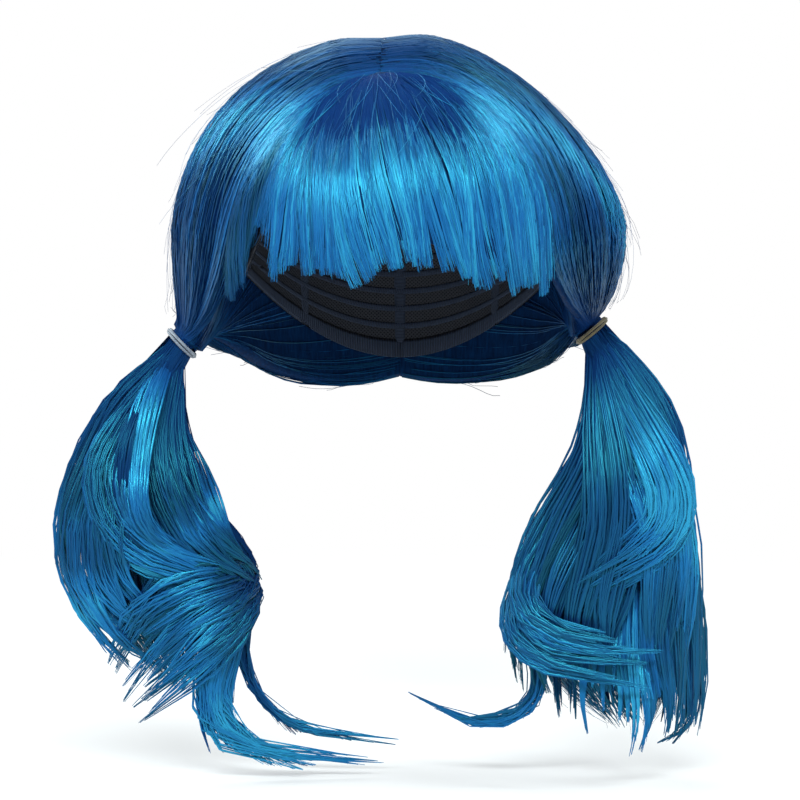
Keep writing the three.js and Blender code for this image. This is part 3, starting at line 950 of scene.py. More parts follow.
def fringe_cut(across):
    """How far the fringe hangs at a share of its width, and how full it is there."""
    edges = np.concatenate([[0], np.cumsum(FRINGE_LOCKS[:, 0])])
    lock = np.clip(np.searchsorted(edges, across, side="right") - 1, 0, len(FRINGE_LOCKS) - 1)
    within = (across - edges[lock]) / FRINGE_LOCKS[lock, 0]
    beside_it = np.clip(lock + np.where(within < 0.5, -1, 1), 0, len(FRINGE_LOCKS) - 1)
    notch = (2 * within - 1) ** 2
    hang = FRINGE_LOCKS[lock, 1]
    low = np.minimum(hang, FRINGE_LOCKS[beside_it, 1]) * (1 - FRINGE_NOTCH)
    return lerp(hang, low, notch), 1 - FRINGE_GROOVE * notch


def soft_cut(across):
    """The same cut with its steps softened, as loose hair blurs them."""
    near = [fringe_cut(np.clip(across + shift, 0, CUT_END)) for shift in (-CUT_BLUR, 0, CUT_BLUR)]
    hang, full = ((first + 2 * second + third) / 4 for first, second, third in zip(*near))
    return hang, full


def fringe_place(across, row, depth, hang, full):
    """A place in the fringe. Row is 0 at the parting and 1 at the tips."""
    d = fringe_aim(across, row * hang)
    at_side = FRONT_EDGE * hair_thickness(d)
    round_share = np.sqrt(np.abs(np.sin(np.pi * across)))
    middle = lerp(at_side, FRINGE_THICKNESS, round_share) * lerp(1, full, row)
    thickness = lerp(middle, FRINGE_TIP_THICKNESS, ease(row, *FRINGE_THINS))
    seat = cap_radius(d) + lerp(TOUCH_GAP, FRINGE_LIFT, row)
    return d * (seat + depth * thickness)[..., None] + CENTRE


# %% [markdown]
# The fringe has such a body too. It stops short of the tips, so that only strands show there.
# %% Body under the fringe
UNDER_FRINGE_ROWS = (0.04, 0.9)
UNDER_FRINGE_DEPTHS = (0.72, 0.06)
UNDER_FRINGE_STEPS = (90, 24)


def make_fringe_under():
    def sheet(depth):
        def place(across, row):
            hang, full = soft_cut(across)
            return fringe_place(across, lerp(*UNDER_FRINGE_ROWS, row), depth, hang, full)

        return place

    outside, inside = (sheet(depth) for depth in UNDER_FRINGE_DEPTHS)
    return pad_between("under_fringe", outside, inside, UNDER_FRINGE_STEPS)


dress(make_fringe_under(), "hair", "fringe")

# %% [markdown]
# The fringe's strands start at the parting, lean a little to the right and fall straight. Near the
# cut a few dozen of them at a time draw together into one tip.
# %% Strands of the fringe
FRINGE_AT = np.array([0, 0.07, 0.17, 0.29, 0.42, 0.55, 0.68, 0.8, 0.91, 1.0])
FRINGE_SEED = 21
FRINGE_STRANDS = 3000
FRINGE_CLUMPS = 90
FRINGE_GATHER = 0.15
FRINGE_START = 0.13  # how far below the parting the last strands start
FRINGE_START_POWER = 1.5
FRINGE_TIPS = 58
TIP_LENGTHS = 0.02
TIP_PLACES = (0.3, 0.7)
TIP_DRAW = (0.25, 0.8)  # how far a tip's strands draw together, from the least pointed to the most
TIP_DRAW_FROM = 0.7
STRAND_SHORTER = 0.09
FRINGE_INNERMOST = 0.8  # how deep in the fringe the lowest strands lie, as a share of its thickness
FRINGE_OUTWARDS = 2.2
FRINGE_ROOT_DEPTH = 0.55
FRINGE_ROOT_FADE = (0.02, 0.25)
FRINGE_FLOW = 1.7
FRINGE_WAVES = (0.6, 1.8)
FRINGE_SWAY = 0.35
FRINGE_STRAY = 1.1
FRINGE_TAPER = 0.3  # how wide a strand still is at its tip
FRINGE_TAPER_FROM = 0.8
# The fringe is painted lighter than the halves, as painted light where it faces the light in front.
FRINGE_SHADE = 0.74
# At both sides of the fringe the painted root shade ends sooner, so that these strands show lit.
FRINGE_LIT = 0.35  # the strands at both sides of the fringe start this far up the UV map
FRINGE_LIT_FADE = (0.2, 0.42)
FRINGE_LEAN = 0.2  # how far the tips lie to the right of their roots, as a share of the width
LEAN_FADE = (0.14, 0.5)
LEAN_POWER = 1.5
SIDE_LOCK_DARKER = 0.55  # the lower part of the lock in front of the left ear lies in shade
SIDE_LOCK_EDGE = (0.1, 0.18)
SIDE_LOCK_SHADE_FROM = (0.45, 0.68)


def fringe_tips(chance, loose):
    """Where the strands' tips draw together, how much longer each tip is, and how pointed it is."""
    cuts = np.sort(chance.random(FRINGE_TIPS - 1))
    tip = np.searchsorted(cuts, loose)
    edges = np.concatenate([[0], cuts, [1]])
    place = lerp(edges[:-1], edges[1:], chance.uniform(*TIP_PLACES, FRINGE_TIPS))
    longer = chance.normal(0, TIP_LENGTHS, FRINGE_TIPS)
    pointed = chance.uniform(*TIP_DRAW, FRINGE_TIPS)
    return place[tip], longer[tip], pointed[tip]


def make_fringe(seed):
    chance = np.random.default_rng(seed)
    count = FRINGE_STRANDS
    at = shift_steps(chance, count, FRINGE_AT)
    at = lerp(FRINGE_START * chance.random((count, 1)) ** FRINGE_START_POWER, 1, at)
    loose = chance.random((count, 1))
    clump = (loose * FRINGE_CLUMPS).astype(int)
    heart = (clump + 0.5) / FRINGE_CLUMPS
    tip, longer, pointed = fringe_tips(chance, loose)
    lean = FRINGE_LEAN * ease(loose, *LEAN_FADE) * (1 - loose)
    across = lerp(loose, heart, FRINGE_GATHER * ease(at, 0, 0.5)) - lean * (1 - at**LEAN_POWER)
    across = np.clip(lerp(across, tip, pointed * ease(at, TIP_DRAW_FROM, 1)), 0, 1)
    hang, full = soft_cut(loose)
    hang = hang * (1 + longer - STRAND_SHORTER * chance.random((count, 1)) ** 2)
    depth = 1 - FRINGE_INNERMOST * chance.random((count, 1)) ** FRINGE_OUTWARDS
    depth = depth * lerp(FRINGE_ROOT_DEPTH, 1, ease(at, *FRINGE_ROOT_FADE))
    path = fringe_place(across, at, depth, hang, full)
    outward = unit(path - CENTRE)
    side = unit(np.cross(run_of(path), outward))
    stray = chance.normal(0, FRINGE_STRAY, (count, 1)) * at**3
    drift = flow(chance, loose, at, FRINGE_FLOW)
    drift = drift + sway(chance, count, at, FRINGE_WAVES, FRINGE_SWAY) + stray
    path = path + side * drift[..., None]
    taper = lerp(1, FRINGE_TAPER, ease(at, FRINGE_TAPER_FROM, 1))
    half = chance.uniform(*STRAND_HALF_WIDTH, (count, 1)) * taper
    clump_shade = chance.normal(0, STRAND_SHADES, FRINGE_CLUMPS)
    shades = FRINGE_SHADE + clump_shade[clump] + chance.normal(0, STRAND_SHADES, (count, 1))
    on_side_lock = 1 - ease(loose, *SIDE_LOCK_EDGE)
    shades = shades - SIDE_LOCK_DARKER * on_side_lock * ease(at, *SIDE_LOCK_SHADE_FROM)
    lit = FRINGE_LIT * ease(np.abs(loose - 0.5), *FRINGE_LIT_FADE)
    up = lerp(lit, 1, np.linspace(0, 1, len(FRINGE_AT)))
    return make_strands("fringe_strands", path, outward, half, shades, fringe_fibre, up)


dress(make_fringe(FRINGE_SEED), "hair", "fringe")

# %% [markdown]
# ## The pigtails
#
# Below each tie the hair opens into a full, tousled tail. A round body of hair gives it its bulk,
# and over it lie the locks that make each pigtail what it is. The tables give a lock's way: each
# row is a place on it, as shares of the pigtail's width, length and depth from its tie, and how
# spread the lock is there. Many locks start in the tie, run over the front, and then fold back or
# sweep across the others.
# %% Sizes and bodies of the pigtails
PIGTAIL_LENGTH = 202
PIGTAIL_WIDTH = 98
PIGTAIL_DEPTH = 74

# Sections of the body: how far down, how far out its middle is, half its width, half its depth.
PIGTAIL_BODIES = {
    "left": np.array([
        (0.055, 0.11, 0.11, 0.15), (0.12, 0.17, 0.14, 0.22), (0.2, 0.21, 0.19, 0.29),
        (0.3, 0.215, 0.27, 0.36), (0.4, 0.17, 0.36, 0.4), (0.5, 0.1, 0.42, 0.4),
        (0.59, 0.07, 0.41, 0.36), (0.67, 0.06, 0.32, 0.28), (0.75, 0.03, 0.18, 0.17),
        (0.81, 0.0, 0.05, 0.06),
    ]),
    "right": np.array([
        (0.055, 0.1, 0.12, 0.15), (0.12, 0.16, 0.16, 0.22), (0.21, 0.19, 0.2, 0.29),
        (0.32, 0.16, 0.27, 0.36), (0.44, 0.09, 0.36, 0.4), (0.56, 0.06, 0.41, 0.42),
        (0.68, 0.05, 0.43, 0.4), (0.79, 0.08, 0.38, 0.34), (0.87, 0.14, 0.26, 0.24),
        (0.93, 0.2, 0.1, 0.1),
    ]),
}


def pigtail_place(name, out, fore, down):
    """A place beside a pigtail, in millimetres from its tie."""
    return places(SIDES[name]["hand"] * out * PIGTAIL_WIDTH, -fore * PIGTAIL_DEPTH, -down * PIGTAIL_LENGTH)


def from_tie(name, points):
    """Moves places measured from a tie to where the tie is."""
    return beside(name, points + tie_place(SIDES[name]))


def body_place(name, station, around, size):
    """A place in the body: station is 0 at the top and 1 at the bottom, around is an angle."""
    rows = PIGTAIL_BODIES[name]
    at = station * (len(rows) - 1)
    steps = np.arange(len(rows))
    down, out, wide, deep = (np.interp(at, steps, column) for column in rows.T)
    middle = pigtail_place(name, out, 0 * out, down)
    across = SIDES[name]["hand"] * np.cos(around) * wide * PIGTAIL_WIDTH * size
    fore = -np.sin(around) * deep * PIGTAIL_DEPTH * size
    return middle + places(across, fore, 0 * across)


UNDER_PIGTAIL_END = 0.86  # how far down the shaded body reaches, as a share of the stations
UNDER_PIGTAIL_SIZE = 0.8
UNDER_PIGTAIL_SIDES = 24
UNDER_PIGTAIL_RINGS = 19
UNDER_NECK = 0.6  # how much of the neck it fills
UNDER_OPENS = (0.5, 0.25)  # its size at the tie, and the share by which it is full
UNDER_CLOSES = (0.6, 0.92)  # the share from which it closes, and by how much


def neck_circle(side, turns):
    """Directions round the neck inside a tie."""
    return np.cos(turns)[..., None] * tie_away(side) + np.sin(turns)[..., None] * TIE_FORE


def under_pigtail_rings(name):
    """Rings of places, from one inside the tie to a small one at the bottom."""
    side = SIDES[name]
    stations = np.linspace(0, UNDER_PIGTAIL_END, UNDER_PIGTAIL_RINGS)
    turns = np.arange(UNDER_PIGTAIL_SIDES) / UNDER_PIGTAIL_SIDES * 2 * np.pi
    neck = neck_circle(side, turns) * NECK_RADIUS * UNDER_NECK
    opening = lerp(UNDER_OPENS[0], 1, ease(stations, 0, UNDER_OPENS[1]))
    closing = 1 - UNDER_CLOSES[1] * ease(stations, UNDER_CLOSES[0] * UNDER_PIGTAIL_END, UNDER_PIGTAIL_END)
    sizes = UNDER_PIGTAIL_SIZE * opening * closing
    in_neck = [neck + tie_along(side) * down for down in (TOUCH_GAP / 2, TIE_WIDTH)]
    below = [body_place(name, np.full_like(turns, at), turns, size) for at, size in zip(stations, sizes)]
    return in_neck + below


def make_pigtail_under(name):
    """A plain body of hair: a circle is extruded from ring to ring and filled at its end."""
    bm = bmesh.new()
    ring = bmesh.ops.create_circle(bm, cap_ends=True, segments=UNDER_PIGTAIL_SIDES, radius=1)["verts"]
    edges = list(bm.edges)
    for number, level in enumerate(under_pigtail_rings(name)):
        if number:
            made = bmesh.ops.extrude_edge_only(bm, edges=edges)["geom"]
            edges = [item for item in made if isinstance(item, bmesh.types.BMEdge)]
            new = [item for item in made if isinstance(item, bmesh.types.BMVert)]
            edges = [edge for edge in edges if all(vert in new for vert in edge.verts)]
            order = [vert.link_edges for vert in ring]
            ring = [
                next(edge.other_vert(vert) for edge in joined if edge.other_vert(vert) in new)
                for vert, joined in zip(ring, order)
            ]
        for vert, spot in zip(ring, from_tie(name, level) * MM):
            vert.co = spot
    bmesh.ops.holes_fill(bm, edges=edges)
    bmesh.ops.recalc_face_normals(bm, faces=bm.faces)
    return add_piece("under_pigtail_" + name, bm, shaded_fibre)


for side_name in SIDES:
    dress(make_pigtail_under(side_name), "hair", "pigtail_" + side_name)

# %% [markdown]
# The locks. The first two numbers are half the width and half the thickness of a lock as shares of
# the pigtail's width. Then come the number of its strands and its shade, from 0 for the darkest to
# 1 for the lightest. A shade is partly the lock's own tone and partly painted light and shade:
# raised locks are lighter and those lying deep are darker. The four numbers of a place are out,
# down, fore and spread.
# %% Locks of the left pigtail
LEFT_LOCKS = {
    "outer edge": (0.07, 0.05, 120, 0.1, [
        (0.08, 0.035, 0.08, 0.5), (0.29, 0.133, 0.12, 0.8), (0.45, 0.286, 0.14, 1),
        (0.54, 0.43, 0.12, 1), (0.52, 0.57, 0.1, 1), (0.41, 0.68, 0.1, 0.9),
        (0.25, 0.752, 0.12, 0.6),
    ]),
    "outer sheet": (0.15, 0.05, 220, 0.13, [
        (0.1, 0.054, 0.1, 0.4), (0.27, 0.17, 0.24, 0.7), (0.37, 0.314, 0.33, 0.9),
        (0.42, 0.442, 0.38, 1), (0.37, 0.57, 0.4, 1), (0.2, 0.668, 0.38, 0.9),
        (0.02, 0.714, 0.3, 0.7),
    ]),
    "outer arcs": (0.11, 0.04, 170, 0.3, [
        (0.08, 0.063, 0.12, 0.4), (0.24, 0.174, 0.28, 0.7), (0.35, 0.291, 0.38, 1),
        (0.29, 0.407, 0.43, 1), (0.12, 0.482, 0.46, 0.9), (-0.13, 0.528, 0.44, 0.8),
        (-0.35, 0.565, 0.2, 0.5),
    ]),
    # A dark lock laid where there is only the shadow between the outer sheet and the raised lock: painted
    # shadow.
    "hollow": (0.035, 0.03, 50, 0.0, [
        (0.1, 0.05, 0.14, 0.5), (0.2, 0.14, 0.29, 0.9), (0.26, 0.24, 0.4, 1), (0.27, 0.33, 0.45, 1),
        (0.23, 0.41, 0.47, 0.9), (0.13, 0.455, 0.46, 0.8), (0, 0.485, 0.4, 0.5),
    ]),
    "raised lock": (0.05, 0.035, 80, 0.55, [
        (0.09, 0.05, 0.14, 0.6), (0.16, 0.14, 0.3, 0.9), (0.205, 0.25, 0.42, 1),
        (0.21, 0.35, 0.48, 1), (0.16, 0.425, 0.5, 0.9), (0.04, 0.475, 0.46, 0.8),
        (-0.12, 0.5, 0.3, 0.5),
    ]),
    "middle sheet": (0.12, 0.045, 150, 0.13, [
        (0.05, 0.081, 0.12, 0.4), (0.1, 0.221, 0.27, 0.7), (0.06, 0.349, 0.36, 1),
        (-0.04, 0.449, 0.4, 1), (-0.2, 0.515, 0.38, 0.8), (-0.33, 0.56, 0.26, 0.5),
        (-0.35, 0.6, 0.14, 0.4),
    ]),
    "inner sheet": (0.12, 0.05, 150, 0.15, [
        (0.05, 0.105, 0.1, 0.4), (0.06, 0.221, 0.22, 0.7), (-0.03, 0.35, 0.3, 0.9),
        (-0.19, 0.465, 0.32, 0.8), (-0.33, 0.55, 0.22, 0.6), (-0.36, 0.61, 0.14, 0.5),
    ]),
    "upper fold": (0.12, 0.045, 190, 0.2, [
        (0.04, 0.1, 0, 0.4), (0.05, 0.25, 0.04, 0.6), (-0.1, 0.4, 0.08, 0.6),
        (-0.29, 0.5, 0.12, 0.5), (-0.37, 0.55, 0.22, 0.5), (-0.22, 0.575, 0.42, 0.9),
        (0, 0.62, 0.48, 1.3), (0.17, 0.7, 0.42, 1.4), (0.26, 0.79, 0.3, 0.9),
    ]),
    "lower fold": (0.12, 0.045, 170, 0.27, [
        (0.03, 0.1, -0.04, 0.4), (0.04, 0.25, 0, 0.6), (-0.12, 0.4, 0.02, 0.6),
        (-0.3, 0.52, 0.08, 0.5), (-0.38, 0.575, 0.2, 0.5), (-0.3, 0.625, 0.38, 0.8),
        (-0.12, 0.68, 0.45, 1.2), (0.08, 0.76, 0.42, 1.2), (0.28, 0.87, 0.26, 0.6),
    ]),
    "fold fill": (0.1, 0.04, 120, 0.2, [
        (0.03, 0.1, 0, 0.4), (0.05, 0.25, 0.04, 0.6), (-0.12, 0.4, 0.06, 0.6),
        (-0.3, 0.49, 0.1, 0.5), (-0.36, 0.535, 0.2, 0.5), (-0.2, 0.53, 0.4, 0.9),
        (-0.02, 0.55, 0.45, 1.2), (0.13, 0.61, 0.42, 1.2), (0.24, 0.7, 0.34, 0.8),
    ]),
    "inner edge": (0.08, 0.06, 150, 0.2, [
        (0.05, 0.105, 0, 0.5), (0.04, 0.24, 0.05, 0.8), (-0.06, 0.36, 0.1, 1),
        (-0.2, 0.475, 0.1, 1), (-0.31, 0.565, 0.1, 0.9), (-0.27, 0.63, 0.2, 0.9),
        (-0.16, 0.72, 0.25, 0.6),
    ]),
    "drop lock": (0.07, 0.045, 140, 0.45, [
        (0.04, 0.128, 0.06, 0.5), (0, 0.291, 0.1, 0.7), (-0.18, 0.454, 0.12, 0.7),
        (-0.3, 0.57, 0.14, 0.7), (-0.24, 0.658, 0.3, 0.9), (-0.16, 0.752, 0.36, 1),
        (-0.12, 0.845, 0.34, 1), (-0.21, 0.928, 0.28, 0.8), (-0.46, 0.975, 0.2, 0.5),
        (-0.98, 0.99, 0.14, 0.3),
    ]),
    "drop fill": (0.08, 0.05, 120, 0.45, [
        (0.04, 0.128, 0, 0.5), (0.01, 0.291, 0.06, 0.7), (-0.15, 0.454, 0.06, 0.8),
        (-0.26, 0.575, 0.06, 0.8), (-0.22, 0.686, 0.2, 1), (-0.15, 0.803, 0.26, 1),
        (-0.2, 0.9, 0.24, 0.8), (-0.39, 0.955, 0.2, 0.5), (-0.63, 0.98, 0.14, 0.3),
    ]),
    "thin lock": (0.032, 0.035, 70, 0.4, [
        (0.03, 0.128, 0, 0.7), (-0.03, 0.291, 0, 0.9), (-0.21, 0.454, 0.02, 1),
        (-0.32, 0.582, 0.04, 1), (-0.28, 0.686, 0.12, 1), (-0.3, 0.77, 0.14, 1),
        (-0.37, 0.854, 0.12, 0.9), (-0.55, 0.924, 0.1, 0.7), (-1.05, 0.954, 0.06, 0.5),
    ]),
    "bottom tuft": (0.08, 0.06, 110, 0.55, [
        (0.05, 0.128, -0.05, 0.5), (0.03, 0.314, -0.1, 0.8), (-0.07, 0.5, -0.1, 1),
        (-0.16, 0.663, -0.04, 1), (-0.12, 0.8, 0.06, 0.9), (-0.15, 0.91, 0.12, 0.8),
        (-0.22, 0.97, 0.14, 0.6), (-0.33, 0.99, 0.14, 0.4),
    ]),
    "back outer": (0.11, 0.04, 120, 0.25, [
        (0.1, 0.05, -0.1, 0.4), (0.27, 0.17, -0.2, 0.7), (0.37, 0.31, -0.26, 1),
        (0.39, 0.45, -0.27, 1), (0.33, 0.58, -0.25, 1), (0.24, 0.67, -0.19, 0.8),
        (0.14, 0.75, -0.14, 0.5),
    ]),
    "back middle": (0.13, 0.05, 120, 0.25, [
        (0.04, 0.07, -0.14, 0.4), (0.13, 0.2, -0.29, 0.8), (0.16, 0.35, -0.36, 1),
        (0.1, 0.5, -0.37, 1), (0.06, 0.62, -0.31, 1), (0.02, 0.72, -0.22, 0.7),
        (0.02, 0.79, -0.14, 0.4),
    ]),
    "back inner": (0.1, 0.035, 120, 0.25, [
        (0.04, 0.1, -0.1, 0.4), (0.08, 0.22, -0.19, 0.7), (0.01, 0.36, -0.24, 1),
        (-0.12, 0.48, -0.26, 1), (-0.2, 0.6, -0.23, 0.9), (-0.16, 0.71, -0.18, 0.8),
        (-0.12, 0.8, -0.12, 0.6), (-0.1, 0.85, -0.08, 0.4),
    ]),
}

# %% [markdown]
# The right pigtail falls straighter. Two locks cross its front from the inner side, one bright lock
# sweeps inwards above them, and the rest hangs down in long sheets and a fan.
# %% Locks of the right pigtail
RIGHT_LOCKS = {
    "outer edge": (0.07, 0.05, 160, 0.3, [
        (0.11, 0.03, 0.06, 0.5), (0.29, 0.137, 0.1, 0.8), (0.39, 0.258, 0.12, 1),
        (0.42, 0.409, 0.12, 1), (0.45, 0.572, 0.12, 1), (0.48, 0.735, 0.12, 1),
        (0.5, 0.863, 0.12, 1), (0.46, 0.94, 0.14, 0.8), (0.27, 0.96, 0.16, 0.6),
    ]),
    "outer sheet": (0.12, 0.05, 210, 0.28, [
        (0.11, 0.049, 0.1, 0.4), (0.26, 0.165, 0.22, 0.7), (0.33, 0.293, 0.3, 0.9),
        (0.36, 0.444, 0.34, 1), (0.41, 0.607, 0.34, 1), (0.43, 0.758, 0.3, 1),
        (0.44, 0.875, 0.26, 0.9), (0.42, 0.947, 0.24, 0.6),
    ]),
    "bright lock": (0.1, 0.045, 150, 0.42, [
        (0.07, 0.06, 0.13, 0.4), (0.17, 0.165, 0.28, 0.7), (0.28, 0.263, 0.4, 0.9),
        (0.36, 0.365, 0.46, 1), (0.34, 0.449, 0.5, 1), (0.21, 0.507, 0.52, 0.9),
        (0.05, 0.551, 0.5, 0.7), (-0.13, 0.612, 0.44, 0.4),
    ]),
    "long sheet": (0.11, 0.045, 180, 0.36, [
        (0.06, 0.072, 0.12, 0.4), (0.14, 0.188, 0.27, 0.8), (0.25, 0.309, 0.37, 1),
        (0.34, 0.426, 0.43, 1), (0.37, 0.551, 0.44, 1), (0.34, 0.677, 0.42, 1),
        (0.32, 0.798, 0.36, 0.8), (0.34, 0.9, 0.28, 0.4),
    ]),
    "centre sheet": (0.12, 0.045, 180, 0.26, [
        (0.03, 0.072, 0.12, 0.4), (0.06, 0.193, 0.27, 0.8), (0.09, 0.319, 0.38, 1),
        (0.09, 0.444, 0.42, 1), (0.03, 0.551, 0.44, 1), (-0.02, 0.658, 0.44, 1),
        (-0.01, 0.752, 0.42, 0.9), (0.02, 0.84, 0.36, 0.6),
    ]),
    "inner sheet": (0.12, 0.05, 170, 0.22, [
        (0.04, 0.077, 0.1, 0.4), (0.06, 0.207, 0.2, 0.7), (0, 0.319, 0.28, 0.9),
        (-0.13, 0.421, 0.32, 1), (-0.23, 0.528, 0.34, 1), (-0.29, 0.64, 0.34, 1),
        (-0.28, 0.742, 0.32, 0.9), (-0.21, 0.84, 0.26, 0.6),
    ]),
    "inner edge": (0.07, 0.06, 150, 0.2, [
        (0, 0.054, 0.04, 0.5), (0.04, 0.212, 0.08, 0.8), (-0.04, 0.319, 0.1, 1),
        (-0.18, 0.426, 0.12, 1), (-0.29, 0.542, 0.14, 1), (-0.36, 0.658, 0.16, 1),
        (-0.37, 0.761, 0.18, 1), (-0.31, 0.84, 0.2, 0.7),
    ]),
    "upper cross": (0.06, 0.035, 100, 0.42, [
        (0.02, 0.095, 0.04, 0.5), (0, 0.258, 0.1, 0.6), (-0.14, 0.416, 0.16, 0.8),
        (-0.31, 0.54, 0.26, 1), (-0.35, 0.63, 0.44, 1), (-0.2, 0.685, 0.56, 1),
        (0.06, 0.71, 0.62, 1.1), (0.32, 0.7, 0.6, 1.6),
    ]),
    "lower cross": (0.065, 0.035, 100, 0.38, [
        (0, 0.095, 0.02, 0.5), (-0.02, 0.282, 0.06, 0.6), (-0.2, 0.444, 0.12, 0.8),
        (-0.36, 0.6, 0.24, 1), (-0.39, 0.69, 0.4, 1), (-0.24, 0.75, 0.54, 1),
        (0.05, 0.77, 0.62, 1.2), (0.28, 0.775, 0.61, 1.6),
    ]),
    "fall": (0.055, 0.035, 80, 0.5, [
        (0.04, 0.095, 0.08, 0.7), (0.07, 0.258, 0.16, 1), (0.07, 0.421, 0.24, 1),
        (0.03, 0.561, 0.34, 1), (0, 0.66, 0.4, 0.8), (-0.02, 0.74, 0.44, 0.8),
        (-0.03, 0.81, 0.5, 0.9), (-0.04, 0.88, 0.5, 1), (-0.01, 0.95, 0.42, 0.9),
    ]),
    "fan inner": (0.08, 0.045, 130, 0.56, [
        (0.06, 0.1, 0.06, 0.6), (0.12, 0.282, 0.16, 0.8), (0.18, 0.468, 0.26, 0.8),
        (0.17, 0.617, 0.36, 0.7), (0.16, 0.71, 0.42, 0.8), (0.18, 0.8, 0.52, 1),
        (0.2, 0.9, 0.54, 1.1), (0.15, 0.99, 0.42, 0.9),
    ]),
    "fan outer": (0.08, 0.045, 120, 0.48, [
        (0.07, 0.095, 0.04, 0.6), (0.2, 0.282, 0.12, 0.8), (0.29, 0.468, 0.22, 0.8),
        (0.28, 0.631, 0.34, 0.7), (0.3, 0.738, 0.44, 0.8), (0.35, 0.84, 0.46, 1),
        (0.33, 0.924, 0.42, 1.1), (0.27, 0.985, 0.34, 0.9),
    ]),
    "tail": (0.04, 0.03, 70, 0.5, [
        (0.01, 0.095, -0.05, 0.8), (-0.03, 0.282, -0.06, 1), (-0.21, 0.468, -0.04, 1),
        (-0.3, 0.631, 0.06, 1), (-0.28, 0.747, 0.2, 1), (-0.23, 0.84, 0.26, 1),
        (-0.35, 0.91, 0.22, 0.9), (-0.61, 0.924, 0.16, 0.8), (-0.9, 0.84, 0.1, 0.7),
    ]),
    "bottom": (0.09, 0.06, 150, 0.3, [
        (0.02, 0.1, -0.05, 0.5), (0.01, 0.282, -0.08, 0.8), (-0.1, 0.468, -0.06, 1),
        (-0.15, 0.631, 0.02, 1), (-0.15, 0.77, 0.1, 1), (-0.14, 0.863, 0.14, 0.9),
        (-0.12, 0.914, 0.16, 0.7),
    ]),
    "back outer": (0.1, 0.05, 150, 0.25, [
        (0.1, 0.05, -0.1, 0.4), (0.26, 0.17, -0.2, 0.7), (0.34, 0.31, -0.24, 1),
        (0.37, 0.46, -0.26, 1), (0.38, 0.62, -0.26, 1), (0.38, 0.76, -0.22, 0.9),
        (0.36, 0.88, -0.16, 0.8), (0.32, 0.95, -0.12, 0.6),
    ]),
    "back middle": (0.13, 0.05, 120, 0.25, [
        (0.04, 0.07, -0.14, 0.4), (0.12, 0.2, -0.29, 0.8), (0.12, 0.35, -0.36, 1),
        (0.08, 0.5, -0.39, 1), (0.06, 0.66, -0.38, 1), (0.1, 0.8, -0.3, 0.8),
        (0.12, 0.92, -0.18, 0.4),
    ]),
    "back inner": (0.1, 0.035, 120, 0.25, [
        (0.05, 0.09, -0.12, 0.4), (0.1, 0.22, -0.24, 0.7), (0.02, 0.36, -0.3, 1),
        (-0.16, 0.5, -0.33, 1), (-0.25, 0.64, -0.32, 1), (-0.22, 0.78, -0.24, 0.8),
        (-0.14, 0.88, -0.14, 0.5),
    ]),
}

# %% [markdown]
# Where the locks bend they catch the light in lighter patches, and these give the real pigtails most
# of their life. Here they are painted highlights in the strands' colour. A row is a highlight: how far
# along its lock it is, how far it reaches to both sides, and how much lighter it is.
# %% Painted highlights on the locks
PAINTED_HIGHLIGHTS = {
    "left": {
        "outer sheet": [(0.56, 0.1, 0.25), (0.76, 0.16, 0.65)],
        "outer arcs": [(0.7, 0.22, 0.45)],
        "raised lock": [(0.4, 0.35, 0.4)],
        "middle sheet": [(0.66, 0.1, 0.5)],
        "inner sheet": [(0.63, 0.1, 0.85)],
        "upper fold": [(0.76, 0.1, 0.6), (0.92, 0.1, 0.45)],
        "lower fold": [(0.82, 0.14, 0.45)],
        "drop lock": [(0.78, 0.25, 0.5)],
    },
    "right": {
        "outer sheet": [(0.46, 0.14, 0.45)],
        "bright lock": [(0.58, 0.28, 0.55)],
        "long sheet": [(0.22, 0.14, 0.4), (0.52, 0.2, 0.45)],
        "centre sheet": [(0.2, 0.12, 0.3)],
        "fall": [(0.85, 0.15, 0.2)],
        "fan inner": [(0.82, 0.2, 0.35)],
    },
}

# %% [markdown]
# A lock is dark near its root, because it stands close to the other hair there. Where it folds
# over or hides behind others the dark part is longer, and a lock that is raised off the others has
# a short one. These powers stretch it: 1 is the usual, and more is longer.
# %% Longer and shorter dark parts of some locks
LATE_SHADOWS = {
    "left": {
        "outer edge": 1.6,
        "outer sheet": 1.4,
        "hollow": 8,
        "raised lock": 0.45,
        "middle sheet": 1.5,
        "inner sheet": 1.5,
        "inner edge": 1.4,
        "upper fold": 1.9,
        "lower fold": 1.9,
        "fold fill": 1.9,
        "thin lock": 1.8,
    },
    "right": {"outer edge": 1.4, "inner sheet": 1.3, "inner edge": 1.5, "tail": 1.4},
}

# %% [markdown]
# A lock's strands fill a flat oval round its line. They all start inside the tie, they drift in
# the oval as they go, and near the tips they splay and end one after the other.
# %% Strands of the pigtails
PIGTAIL_LOCKS = {"left": LEFT_LOCKS, "right": RIGHT_LOCKS}
PIGTAIL_SEEDS = {"left": 31, "right": 32}
LOCK_PLACES = 12
LINE_PLACES = 140
LINE_ROUNDS = 50
NECK_SPREAD = 0.3  # how spread a lock is where it starts in the tie
OUT_BIAS = TIE_FORE * 0.01  # keeps a direction outwards where a lock runs through the middle
HEART_RISE = 0.1  # how little a direction outwards points up or down
LOCK_SWELL = 1.6  # how far a lock waves towards the body and away from it
LOCK_SWELL_WAVES = (1.6, 2.6)
TUFT_SWELL = 0.6
TUFT_SWELL_WAVES = (1.2, 2.8)
TUFT_WAVE = 11  # how far a tuft waves from side to side, for a lock as wide as the pigtail
TUFT_WAVES = (0.7, 1.6)
TUFT_STRANDS = 13
FEWEST_TUFTS = 3
TUFT_SPREAD = 1.5  # how far a tuft's strands reach over the tufts beside it
TUFT_SHORTER = 0.24  # how much shorter than its lock the shortest tuft is
TUFT_SHORTER_POWER = 1.4
TUFT_STRAND_SHORTER = 0.08
TUFT_SHADES = 0.05
TIP_SPLAY = 2.6
TIP_SPLAY_FROM = 0.6
TIP_POINT = 0.16  # how far the strands of a tuft draw together at its tip
